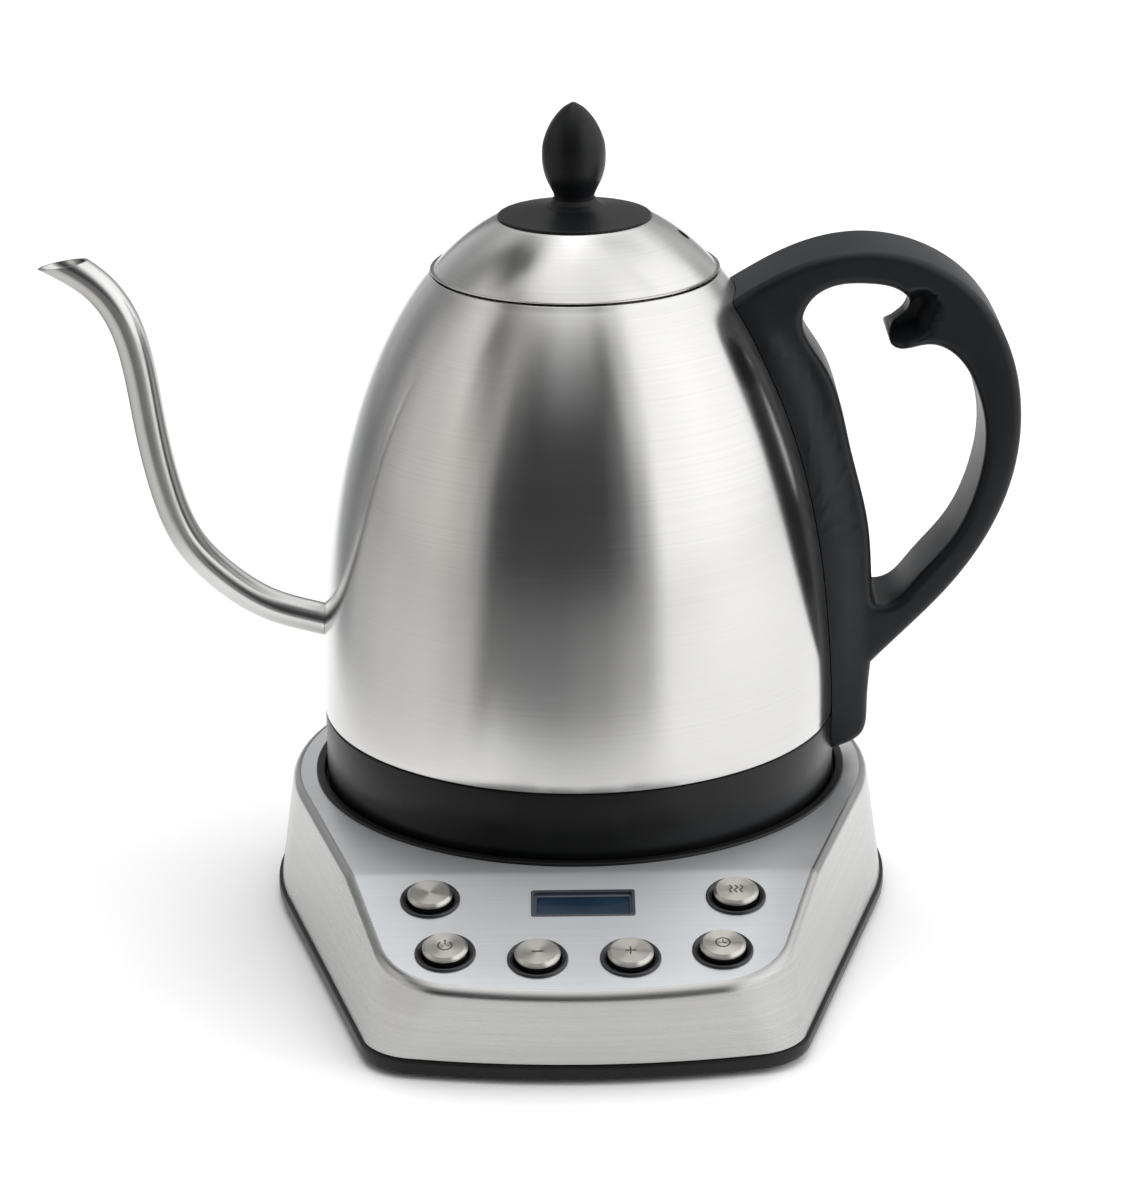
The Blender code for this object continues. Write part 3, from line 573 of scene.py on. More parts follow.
def tones(*stops):
    """Colour ramp stops from (degrees round from the camera's side, level) and an optional warmth."""
    out = []
    for turn, level, *warmth in stops:
        warm = sum(warmth)
        out.append(((turn + 180) / 360, (level * (1 + warm), level, level * (1 - BLUE_LOSS * warm))))
    return out


# Studio brightness round the object, at the heights above the horizon given in degrees
WALL_TONES = (
    (14, tones(
        (-180, 0.2), (-168, 0.25, -0.01), (-158, 0.6, -0.01), (-148, 0.5, -0.01), (-135, 0.34, -0.01),
        (-127, 0.28, -0.01), (-112, 0.5, 0.01), (-92, 0.68, 0.02), (-70, 0.76, 0.025), (-55, 0.62, 0.03),
        (-48, 0.42, 0.01), (-40, 0.08, -0.02), (-30, 0.05, -0.02), (12, 0.05, -0.03), (22, 0.12, -0.01),
        (31, 0.42), (42, 1.35), (70, 1.48), (95, 1.42), (120, 1.1), (138, 0.45), (150, 0.6), (165, 0.4),
        (180, 0.2),
    )),
    (28, tones(
        (-180, 0.35), (-157, 0.5), (-142, 0.4), (-122, 0.34), (-110, 0.5), (-92, 0.72, 0.02),
        (-74, 0.88, 0.02), (-64, 0.55, 0.02), (-56, 0.36, 0.03), (-46, 0.42, 0.02), (-37, 0.14),
        (-24, 0.06, -0.01), (12, 0.06, -0.02), (22, 0.18), (34, 0.9), (46, 1.35), (75, 1.52), (93, 1.42),
        (126, 1.3), (142, 0.7), (160, 0.6), (180, 0.35),
    )),
    (44, tones(
        (-180, 0.9), (-142, 0.6), (-128, 0.28), (-118, 0.35), (-108, 0.66), (-88, 0.95, 0.01),
        (-78, 0.7, 0.01), (-69, 0.1, 0.02), (-60, 0.2, 0.02), (-48, 0.42, 0.01), (-28, 0.22),
        (-10, 0.36, -0.01), (8, 0.28), (20, 0.14), (32, 0.6), (46, 1.3), (60, 1.45), (116, 1.4),
        (136, 1.2), (150, 1.1), (180, 0.9),
    )),
    (56, tones(
        (-180, 1.6), (-156, 0.8), (-142, 0.4), (-132, 0.08), (-98, 0.12), (-86, 0.6), (-72, 0.4),
        (-52, 0.42, 0.01), (-30, 0.5), (-12, 0.68), (6, 0.62), (22, 0.36), (38, 0.8), (56, 1.4),
        (80, 1.35), (93, 1.1), (104, 1.4), (120, 1.2), (135, 0.85), (150, 1.1), (180, 1.6),
    )),
    (66, tones(
        (-180, 2.2), (-156, 1.2), (-140, 0.6), (-120, 0.1), (-98, 0.1), (-88, 0.9), (-62, 1.1, 0.01),
        (-15, 1.1), (28, 1.1), (80, 1.2), (120, 1.1), (143, 0.8), (160, 1.3), (180, 2.2),
    )),
    (78, tones((-180, 1.5), (-60, 1.25), (80, 1.15), (180, 1.5))),
)
# Painted shade on the floor round the object, out of the camera's view, standing in for the studio's dimmer
# parts that the steel reflects
FLOOR_PAINTED_SHADE = tones(
    (-180, 0.8), (-166, 0.75, -0.01), (-150, 0.46, -0.02), (-141, 0.3, -0.02), (-131, 0.2, -0.02),
    (-110, 0.46), (-90, 0.56, 0.02), (-68, 0.6, 0.02), (-50, 0.5, 0.02), (-38, 0.16), (-10, 0.17, -0.01),
    (8, 0.24), (28, 0.4), (42, 0.86), (120, 0.84), (135, 0.7), (160, 0.7), (180, 0.8),
)


def mix_colour(tree, factor, first, second):
    made = add_node(tree, "ShaderNodeMix", data_type="RGBA")
    for key, value in (("Factor", factor), ("A", first), ("B", second)):
        socket = next(s for s in made.inputs if s.name == key and s.type in ("RGBA", "VALUE") and s.enabled)
        if isinstance(value, bpy.types.NodeSocket):
            tree.links.new(value, socket)
        else:
            socket.default_value = value if key == "Factor" else (*value, 1.0)
    return next(s for s in made.outputs if s.type == "RGBA")


def brushed_steel(name, colour, roughness, scales, anisotropy=0.75, uv_height=False, line_depth=0.02,
                  shade=0.06, smudge=0.03, metal=1.0):
    """Steel with fine brush lines; its highlights stretch across them."""
    made, tree, shader = new_material(name, colour, roughness, metal, Anisotropic=anisotropy,
                                      Anisotropic_Rotation=0.25)
    fine = noise(tree, grain_vector(tree, scales, uv_height), 1.0, 4.0, 0.65)
    broad_scales = [s * 0.35 for s in scales]
    broad = noise(tree, grain_vector(tree, broad_scales, uv_height), 1.0, 3.0, 0.5)
    cloud = noise(tree, grain_vector(tree, (9, 9, 9)), 1.0, 3.0, 0.5)
    half = sums(tree, "MULTIPLY", sums(tree, "ADD", fine, broad), 0.5)
    dark = [c * (1 - shade) for c in colour]
    light = [min(c * (1 + shade * 0.6), 1.0) for c in colour]
    steel = mix_colour(tree, remap(tree, half, 0.0, 1.0, 0.35, 0.65), dark, light)
    rough = remap(tree, cloud, roughness - smudge, roughness + smudge)
    rough_lines = remap(tree, fine, -0.02, 0.03)
    bump = add_node(tree, "ShaderNodeBump", {"Height": half, "Strength": line_depth, "Distance": 0.0004})
    tangent = add_node(tree, "ShaderNodeTangent", direction_type="UV_MAP")
    feed(tree, shader, Base_Color=steel, Roughness=sums(tree, "ADD", rough, rough_lines),
         Normal=bump.outputs[0], Tangent=tangent.outputs[0])
    return made


def moulded_plastic(name, colour, roughness, grain=1800.0, depth=0.06, **sockets):
    """Black or grey moulded plastic with a fine grain and slight unevenness of gloss."""
    made, tree, shader = new_material(name, colour, roughness, **sockets)
    place = grain_vector(tree, (1, 1, 1))
    fine = noise(tree, place, grain, 2.0, 0.5)
    cloud = noise(tree, place, 28.0, 3.0, 0.55)
    light = [c * 1.35 for c in colour]
    dark = [c * 0.8 for c in colour]
    bump = add_node(tree, "ShaderNodeBump", {"Height": fine, "Strength": depth, "Distance": 0.0002})
    feed(tree, shader, Base_Color=mix_colour(tree, remap(tree, cloud, 0.0, 1.0), dark, light),
         Roughness=remap(tree, cloud, roughness - 0.05, roughness + 0.06), Normal=bump.outputs[0])
    return made


def display_glass(name):
    """The dark blue face of an unlit liquid crystal display under a clear lens."""
    made, tree, shader = new_material(name, (0.008, 0.022, 0.045), 0.10, 0.0, Coat_Weight=0.5,
                                      Coat_Roughness=0.04, Specular_IOR_Level=0.6)
    place = grain_vector(tree, (1, 1, 1))
    stripes = noise(tree, grain_vector(tree, (20, 900, 900)), 1.0, 2.0, 0.5)
    cloud = noise(tree, place, 60.0, 2.0, 0.5)
    deep = mix_colour(tree, remap(tree, cloud, 0.0, 1.0), (0.005, 0.016, 0.034), (0.011, 0.032, 0.062))
    feed(tree, shader, Base_Color=deep, Roughness=remap(tree, stripes, 0.07, 0.16))
    return made


def build_materials():
    """Every material of the object, by the name that the pieces use."""
    around = (4, 4, 3600)
    dull = {"Specular_IOR_Level": 0.26}
    metal = {"Metallic": 1.0}
    looks = {
        "body": brushed_steel("body_brushed_steel", (0.66, 0.655, 0.645), 0.19, around, 0.75,
            uv_height=True, line_depth=0.014, shade=0.05),
        "lid": brushed_steel("lid_brushed_steel", (0.67, 0.665, 0.655), 0.18, around, 0.7,
            uv_height=True, line_depth=0.014, shade=0.05),
        "deck": brushed_steel("deck_brushed_steel", (0.69, 0.71, 0.73), 0.40, (16, 2600, 2600), 0.7,
            line_depth=0.016, shade=0.045, metal=0.9),
        # The walls' steel is darker than the deck's on the same housing: painted shade on its sides; the
        # brushing across them is real
        "wall": brushed_steel("wall_steel_painted_shade", (0.49, 0.487, 0.48), 0.27, (16, 16, 2600), 0.6,
            line_depth=0.03, shade=0.08),
        "spout": brushed_steel("spout_satin_steel", (0.64, 0.64, 0.625), 0.19, (120, 500, 120), 0.3,
            line_depth=0.01, shade=0.05),
        "inner": brushed_steel("inner_steel", (0.70, 0.70, 0.69), 0.3, around, 0.5, uv_height=True),
        "key": brushed_steel("key_spun_steel", (0.62, 0.60, 0.56), 0.32, (60, 60, 6500), 1.0,
            uv_height=True, line_depth=0.02, shade=0.10),
    }
    moulded = {
        "handle": ("handle_soft_black", (0.0095, 0.0108, 0.013), 0.37, dull),
        "lid_black": ("lid_soft_black", (0.006, 0.0065, 0.0075), 0.38, dull),
        "skirt": ("skirt_satin_black", (0.004, 0.0042, 0.0048), 0.30, 1500.0, 0.03, dull),
        "base_black": ("base_satin_black", (0.006, 0.006, 0.006), 0.34, 1500.0, 0.04, dull),
        "bezel": ("bezel_dark_grey", (0.022, 0.023, 0.026), 0.26, 1400.0, 0.03),
        "frame": ("display_frame_grey", (0.05, 0.058, 0.075), 0.22, 1400.0, 0.02),
        "mark": ("key_mark_grey", (0.035, 0.033, 0.03), 0.5),
        "rubber": ("foot_rubber", (0.02, 0.02, 0.02), 0.75, 900.0, 0.2),
        "silicone": ("seal_silicone", (0.52, 0.53, 0.52), 0.55, 700.0, 0.05),
        "aluminium": ("cast_aluminium", (0.58, 0.58, 0.58), 0.45, 600.0, 0.3, metal),
        "dull_steel": ("dull_steel", (0.30, 0.30, 0.31), 0.42, 900.0, 0.1, metal),
        "screw": ("screw_steel", (0.45, 0.45, 0.46), 0.33, 900.0, 0.05, metal),
        "brass": ("contact_brass", (0.74, 0.56, 0.26), 0.32, 900.0, 0.05, metal),
        "board": ("circuit_board", (0.02, 0.13, 0.06), 0.4, 500.0, 0.2),
        "lcd": ("lcd_module_body", (0.05, 0.06, 0.09), 0.3),
    }
    for key, (name, colour, roughness, *grain) in moulded.items():
        extra = grain.pop() if grain and isinstance(grain[-1], dict) else {}
        looks[key] = moulded_plastic(name, colour, roughness, *grain, **extra)
    looks["glass"] = display_glass("display_lens")
    return looks


# ---- kettle


def build_body(look):
    outer = body_curve(MOUTH_Z - 0.7, BODY_WAIST_Z, 70)
    inner = body_curve(MOUTH_Z - 3.0, BODY_WAIST_Z, 50, 1.0)
    inner.reverse()
    rim = rounded([(42.4, MOUTH_Z - 1.4), (41.35, MOUTH_Z + 0.15, 0.55), (39.9, MOUTH_Z + 0.15, 0.5),
                   (39.9, MOUTH_Z - 3.2)], 5)[1:-1]
    foot = rounded([(BODY_RADIUS, BODY_WAIST_Z), (BODY_RADIUS - 0.1, BODY_FOOT_Z, 0.5), (72.7, BODY_FOOT_Z),
                    (72.7, 46.5), (71.7, 46.5), (71.7, 60.2)], 4)[1:]
    rim.reverse()
    body = lathe("kettle_body", [*rim, *outer, *foot, *inner], 192)
    holes = [(0.0, 0.0)] + [(math.cos(math.pi * k / 3), math.sin(math.pi * k / 3)) for k in range(6)]
    for y, z in holes:
        spot = (STRAINER_AT[0], y * STRAINER_PITCH, STRAINER_AT[1] + z * STRAINER_PITCH)
        place = shifted(UPRIGHT, *spot) @ Matrix.Rotation(STRAINER_LEAN, 4, "Y")
        cut(body, rod("drill", STRAINER_HOLE, 12, 20, place))
    finish_piece(body, "kettle", look["body"], "body_shell", slot="body_steel")

    skirt = lathe("black_skirt", [
        (SKIRT_RADIUS, BODY_FOOT_Z - 0.3, 0.5), (SKIRT_RADIUS, SKIRT_BOTTOM, 0.9), (25, SKIRT_BOTTOM, 0.4),
        (25, 43.7, 0.4), (27, 43.7, 0.4), (27, 40, 0.6), (73, 40), (73, BODY_FOOT_Z - 0.3),
    ], 192)
    finish_piece(skirt, "kettle", look["skirt"], "skirt", slot="skirt_black")

    collar = lathe("mouth_ring", [
        (39.5, 187.7, 0.3), (39.5, 178, 0.3), (38.6, 178, 0.3), (38.6, 187.7, 0.3),
    ], 128)
    finish_piece(collar, "kettle", look["inner"], "mouth_collar", slot="inner_steel")


def build_spout(look):
    route = cubic_spline([Vector((x, 0, z)) for x, z in SPOUT_ROUTE], 1.2)
    start = Vector((-60.0, 0, 80.3))
    spout = tube("spout_tube", route, SPOUT_RADIUS, 48)
    bore = tube("bore", [start, *route[1:-1], Vector((-166, 0, 204))], SPOUT_BORE, 40)
    cut(spout, bore)
    lean = Matrix.Rotation(-SPOUT_CUT_SLOPE, 4, "Y")
    x, z = SPOUT_CUT_AT
    above = Matrix.Translation(AXIS + Vector((x, 0, z)) * MM) @ lean @ Matrix.Translation((0, 0, 15 * MM))
    cut(spout, block("mouth", (80, 30, 30), above))
    cut(spout, body_tool("root", 0.1))
    finish_piece(spout, "kettle", look["spout"], "spout", slot="spout_steel")


def slab(name, outlines, half, edge):
    """A flat shape filled between outlines of (x, z) Vectors, with rounded edges, in its own XY plane."""
    curve = bpy.data.curves.new(name, "CURVE")
    curve.dimensions = "2D"
    curve.fill_mode = "BOTH"
    curve.extrude = (half - edge) * MM
    curve.bevel_depth = edge * MM
    curve.bevel_resolution = 4
    curve.offset = -edge * MM
    for outline in outlines:
        spline = curve.splines.new("POLY")
        spline.points.add(len(outline) - 1)
        spline.use_cyclic_u = True
        for point, spot in zip(spline.points, outline):
            point.co = (spot.x * MM, spot.y * MM, 0, 1)
    holder = link(name, curve)
    bm = bmesh.new()
    bm.from_mesh(evaluated_mesh(holder))
    bpy.data.objects.remove(holder, do_unlink=True)
    bmesh.ops.remove_doubles(bm, verts=bm.verts, dist=1e-6)
    return bm


def span(start, end, step):
    """Even stops from start to end."""
    return [start + step * i for i in range(int((end - start) / step) + 1)]


def distance_to_route(spot, route):
    """The shortest way from a spot to the straight lines through the route's Vectors."""
    best = 1e9
    for a, b in zip(route, route[1:]):
        along = b - a
        share = min(max((spot - a).dot(along) / along.length_squared, 0.0), 1.0)
        best = min(best, (a + along * share - spot).length)
    return best


def ease(value):
    """0 to 1, clamped, with a smooth start and end."""
    value = min(max(value, 0.0), 1.0)
    return value * value * (3 - 2 * value)


def handle_depth(x, z):
    """The handle's half width here over its plain half width: wide at the body, thin at the thumb spur."""
    gap = x - (body_radius(z) if z > BODY_WAIST_Z else BODY_RADIUS)
    height = ease((z - FLARE_LOW[0]) / FLARE_LOW[1]) * ease((FLARE_HIGH[0] - z) / FLARE_HIGH[1])
    flare = 1 + HANDLE_FLARE / HANDLE_HALF * ease(1 - gap / FLARE_REACH) * height
    away = distance_to_route(Vector((x, z)), [Vector(p) for p in SPUR_RIDGE])
    scoop = SPUR_HALF / HANDLE_HALF
    return flare * (scoop + (1 - scoop) * ease((away - SPUR_CORE) / SPUR_SCOOP))


def build_handle(look):
    outlines = [outline_curve(outline, 1.5) for outline in (HANDLE_OUTLINE, WINDOW_OUTLINE)]
    bm = slab("handle", outlines, HANDLE_HALF, HANDLE_EDGE)
    stops_x = span(42, 82, 4) + span(84, 108, 1.2)
    stops_z = span(50, 154, 6) + span(158, 187, 1.2)
    for normal, stops in ((Vector((1, 0, 0)), stops_x), (Vector((0, 1, 0)), stops_z)):
        for at in stops:
            geom = bm.verts[:] + bm.edges[:] + bm.faces[:]
            bmesh.ops.bisect_plane(bm, geom=geom, plane_co=normal * at * MM, plane_no=normal, dist=1e-7)
    for v in bm.verts:
        x, z, depth = v.co.x / MM, v.co.y / MM, v.co.z / MM
        v.co = AXIS + Vector((x, -depth * handle_depth(x, z), z)) * MM
    bmesh.ops.triangulate(bm, faces=[f for f in bm.faces if len(f.verts) > 4])
    bmesh.ops.recalc_face_normals(bm, faces=bm.faces)
    handle = add_object("handle_loop", bm, 32)
    cut(handle, body_tool("seat", 0.15))
    finish_piece(handle, "kettle", look["handle"], "handle", slot="handle_black")


def build_coupler(look):
    body = lathe("coupler_housing", [
        (0, 53.5), (23.6, 53.5, 1.0), (23.6, 46.5), (33, 46.5, 0.6), (33, 44, 0.6), (23.6, 44),
        (23.6, 40.5, 0.6), (20.9, 40.5, 0.4), (20.9, 51), (0, 51),
    ], 96, closed=False)
    finish_piece(body, "coupler", look["skirt"], "coupler_body", slot="skirt_black")
    ring = lathe("coupler_contact_ring", [
        (9.8, 50.7), (11.2, 50.7), (11.2, 37.2, 0.4), (9.8, 37.2, 0.4),
    ], 72)
    finish_piece(ring, "coupler", look["brass"], "coupler_ring", slot="contact_brass")
    pin = lathe("coupler_contact_pin", [(0, 50.7), (2.2, 50.7), (2.2, 37.2, 1.0), (0, 36.2)], 32, closed=False)
    finish_piece(pin, "coupler", look["brass"], "coupler_pin", slot="contact_brass")


# ---- lid


def build_lid(look):
    ledge = DISC_EDGE_Z - 1.3
    outer = body_curve(DISC_EDGE_Z - 0.35, LID_EDGE_Z + 0.5, 30)
    inner = body_curve(ledge - 1.6, LID_EDGE_Z + 0.6, 24, 0.9)
    inner.reverse()
    edge = rounded([(41.0, LID_EDGE_Z + 0.9), (41.45, LID_EDGE_Z - 0.05, 0.35),
                    (40.4, LID_EDGE_Z - 0.05, 0.3), (40.0, LID_EDGE_Z + 0.9)], 4)[1:-1]
    top = rounded([(3.2, ledge), (DISC_RADIUS + 0.25, ledge), (DISC_RADIUS + 0.25, DISC_EDGE_Z - 0.05, 0.12),
                   (23.4, DISC_EDGE_Z - 1.1)], 3)[:-1]
    under = [(DISC_RADIUS - 1.2, ledge - 0.9), (3.2, ledge - 0.9)]
    dome = lathe("lid_shell", [*top, *outer, *edge, *inner, *under], 192)
    place = shifted(UPRIGHT, *VENT_AT) @ Matrix.Rotation(VENT_LEAN, 4, "Y")
    cut(dome, rod("vent", VENT_RADIUS, 8, 40, place))
    finish_piece(dome, "lid", look["lid"], "lid_dome", slot="lid_steel")

    rim = DISC_EDGE_Z + 0.55
    disc = lathe("lid_cap", [
        (5.0, rim + 4.9), (6.1, rim + 4.8, 0.3), (6.9, rim + 3.6, 1.2), (9.0, rim + 2.35, 2.0),
        (15, rim + 1.1, 3), (DISC_RADIUS + 0.2, rim, 0.4), (DISC_RADIUS + 0.2, DISC_EDGE_Z - 0.05),
        (DISC_RADIUS, DISC_EDGE_Z - 0.05), (DISC_RADIUS, ledge + 0.2), (2.6, ledge + 0.2),
        (2.6, KNOB_SEAT_Z - 0.6), (5.0, KNOB_SEAT_Z - 0.6),
    ], 160, arc=5)
    finish_piece(disc, "lid", look["lid_black"], "lid_disc", slot="lid_black")

    outline = [Vector(p) for p in (
        (1.1, 237.3), (2.7, 236.3), (4.1, 235.0), (5.5, 233.3), (6.6, 231.6), (7.5, 229.8), (8.2, 228.0),
        (8.75, 226.1), (9.0, 223.9), (9.0, 221.5), (8.8, 219.3), (8.4, 217.5), (7.8, 215.7), (7.05, 214.1),
        (6.3, 212.6), (5.75, 211.2), (5.6, 210.0),
    )]
    knob = lathe("lid_handle_knob", [
        (0, 237.7), (0.5, 237.62), *cubic_spline(outline, 0.5), (4.8, 209.5), (4.8, KNOB_SEAT_Z - 0.25),
        (1.9, KNOB_SEAT_Z - 0.25), (1.9, 219), (0, 219),
    ], 96, closed=False)
    finish_piece(knob, "lid", look["lid_black"], "lid_knob", slot="lid_black")

    pan = lathe("lid_plug", [
        (35.6, 191.3), (37.6, 191.3, 0.3), (37.6, 190.2, 0.3), (PLUG_RADIUS, 190.2),
        (PLUG_RADIUS, 186, 0.3), (35.2, 186), (35.2, 183.2), (PLUG_RADIUS, 183.2, 0.3),
        (PLUG_RADIUS, PLUG_BOTTOM, 1.2), (22, PLUG_BOTTOM, 0.6), (20.5, PLUG_BOTTOM + 0.7, 0.6),
        (1.9, PLUG_BOTTOM + 0.7), (1.9, 202.4), (4.2, 202.4), (4.2, PLUG_BOTTOM + 1.8),
        (34, PLUG_BOTTOM + 1.8), (34, 190.2),
    ], 128)
    finish_piece(pan, "lid", look["inner"], "lid_pan", slot="lid_steel")
    gasket = lathe("lid_seal_ring", [
        (35.5, 185.7), (37.0, 185.6, 0.3), (38.3, 184.9, 0.3), (38.3, 184.3, 0.3), (37.0, 183.6, 0.3),
        (35.5, 183.5),
    ], 128)
    finish_piece(gasket, "lid", look["silicone"], "lid_gasket", slot="seal_silicone")


# ---- base


def build_base(look):
    rings = []
    share_steps = 12
    for k in range(share_steps + 1):
        share = k / share_steps
        radius = STEEL_RADIUS_LOW + (STEEL_RADIUS_TOP - STEEL_RADIUS_LOW) * share
        plan = base_outline(radius, STEEL_FRONT, CORNER + CORNER_GROWTH * share)
        rings.append([(p.x, p.y, STEEL_BOTTOM + (top_height(p.y) - TOP_ROUND - STEEL_BOTTOM) * share)
                      for p in plan])
    arc_steps = 6
    for k in range(1, arc_steps + 1):
        angle = math.pi / 2 * k / arc_steps
        inset = TOP_ROUND * (1 - math.cos(angle))
        drop = TOP_ROUND * (1 - math.sin(angle))
        plan = base_outline(STEEL_RADIUS_TOP - inset, STEEL_FRONT - inset, CORNER + CORNER_GROWTH - inset)
        rings.append([(p.x, p.y, top_height(p.y) - drop) for p in plan])

    def top_cap(bm, rows, uv):
        ring = rows[-1]
        count = len(ring)
        ys = [p[1] for p in rings[-1]]
        right = [next(i for i in range(count // 2) if abs(ys[i] - y) < 1e-3) for y in CREASE_STEPS]
        left = [count - i for i in right]
        faces = [bm.faces.new(ring[left[0]:] + ring[:right[0] + 1])]
        for a, b, c, d in zip(right, right[1:], left[1:], left):
            faces.append(bm.faces.new((ring[a], ring[b], ring[c], ring[d])))
        faces.append(bm.faces.new(ring[right[-1]:left[-1] + 1]))
        for face in faces:
            flat_uv(face, uv)
            face.material_index = 1

    shell = plan_loft("base_housing", rings, top_cap)
    shell.data.materials.append(look["wall"])
    shell.data.materials.append(look["deck"])
    wall = shell.modifiers.new("Wall", "SOLIDIFY")
    wall.thickness = 1.0 * MM
    wall.offset = -1.0
    cut(shell, lathe("hole", [(0, 60), (SEAT_HOLE, 60), (SEAT_HOLE, 30), (0, 30)], 192, closed=False))
    for u, v in BUTTONS.values():
        cut(shell, rod("drill", KEY_HOLE, 10, 48, shifted(PANEL, u, v, 0)))
    wide, deep = DISPLAY_SIZE
    cut(shell, block("slot", (wide - 1.2, deep - 1.2, 12), shifted(PANEL, 0, DISPLAY_CENTRE_V, 0)))
    rear = shifted(UPRIGHT, 0, 88, GLAND_Z) @ Matrix.Rotation(math.pi / 2, 4, "X")
    cut(shell, rod("drill", GLAND_HOLE, 20, 48, rear))
    finish_piece(shell, "base", look["deck"], "base_shell", slot="base_steel")

    def tray_ring(inset, z):
        plan = base_outline(BASE_REAR - inset, BASE_FRONT - inset, CORNER + 0.5 - inset)
        return [(p.x, p.y, z) for p in plan]

    def tray_cap(bm, rows, uv):
        for row in (rows[0], rows[-1]):
            flat_uv(bm.faces.new(row), uv)

    tray = plan_loft("base_tray_rim", [tray_ring(inset, z) for inset, z in (
        (1.4, TRAY_BOTTOM), (0.5, TRAY_BOTTOM + 0.3), (0, TRAY_BOTTOM + 1.2), (0, TRAY_TOP - 0.5),
        (0.15, TRAY_TOP - 0.15), (0.5, TRAY_TOP), (3.1, TRAY_TOP), (3.3, 9.0), (4.9, 9.0), (4.9, 4.0),
    )], tray_cap)
    finish_piece(tray, "base", look["base_black"], "base_tray", slot="base_black")

    seat = lathe("seat_dish", [
        (SEAT_INNER, DECK_Z + 0.9, 0.3), (SEAT_RIM, DECK_Z + 0.9, 0.5), (SEAT_RIM, DECK_Z + 0.1),
        (SEAT_HOLE - 0.3, DECK_Z + 0.1), (SEAT_HOLE - 0.3, 35.0), (SOCKET_RADIUS + 0.3, 35.0),
        (SOCKET_RADIUS + 0.3, SEAT_FLOOR, 0.3), (30, SEAT_FLOOR), (SEAT_INNER - 0.4, SEAT_FLOOR, 0.3),
    ], 192)
    finish_piece(seat, "base", look["base_black"], "seat_pan", slot="base_black")
    socket = lathe("power_socket_housing", [
        (0, 33.5), (3.2, 33.5), (3.2, SOCKET_TOP, 0.5), (8.8, SOCKET_TOP, 0.4), (8.8, 34), (12.2, 34),
        (12.2, SOCKET_TOP, 0.4), (SOCKET_RADIUS, SOCKET_TOP, 1.2), (SOCKET_RADIUS, 34.7), (23.5, 34.7),
        (23.5, 32), (0, 32),
    ], 96, closed=False)
    finish_piece(socket, "base", look["base_black"], "power_socket", slot="base_black")
    gland = lathe("cord_gland_ring", [
        (5.7, 10, 0.5), (5.7, 3.2), (8, 3.2), (8, 0), (3.3, 0), (3.3, 10, 0.8),
    ], 64, shifted(UPRIGHT, 0, 80, GLAND_Z) @ Matrix.Rotation(-math.pi / 2, 4, "X"))
    finish_piece(gland, "base", look["base_black"], "cord_gland", slot="base_black")


def ribbon(name, route, width, height, place):
    """A flat printed or etched line along a route of (x, y) points in millimetres."""
    bm = bmesh.new()
    points = [Vector((x, y, 0)) for x, y in route]
    rows = []
    for i, p in enumerate(points):
        forward = (points[min(i + 1, len(points) - 1)] - points[max(i - 1, 0)]).normalized()
        across = Vector((-forward.y, forward.x, 0)) * width / 2
        rows.append([
            bm.verts.new(place @ ((p + across * s + Vector((0, 0, h))) * MM))
            for s, h in ((1, 0), (1, height), (-1, height), (-1, 0))
        ])
    close_skin(bm, rows)
    return add_object(name, bm)


def key_marks():
    """Plain pictures on the key caps, each a list of lines."""
    power_arc = [(1.9 * math.sin(a), 1.9 * math.cos(a)) for a in
                 (math.radians(40 + 280 * k / 20) for k in range(21))]
    hold_ring = [(1.9 * math.cos(a), 1.9 * math.sin(a)) for a in (2 * math.pi * k / 28 for k in range(29))]
    waves = [[(x + 0.35 * math.sin(t * 2.4), t) for t in (-1.7 + 3.4 * k / 14 for k in range(15))]
             for x in (-1.5, 0.0, 1.5)]
    return {
        "power": [power_arc, [(0, 0.5), (0, 2.5)]],
        "minus": [[(-1.6, 0), (1.6, 0)]],
        "plus": [[(-1.6, 0), (1.6, 0)], [(0, -1.6), (0, 1.6)]],
        "boil": waves,
        "hold": [hold_ring, [(0, 1.2), (0, 0), (0.9, -0.5)]],
        "timer": [],
    }


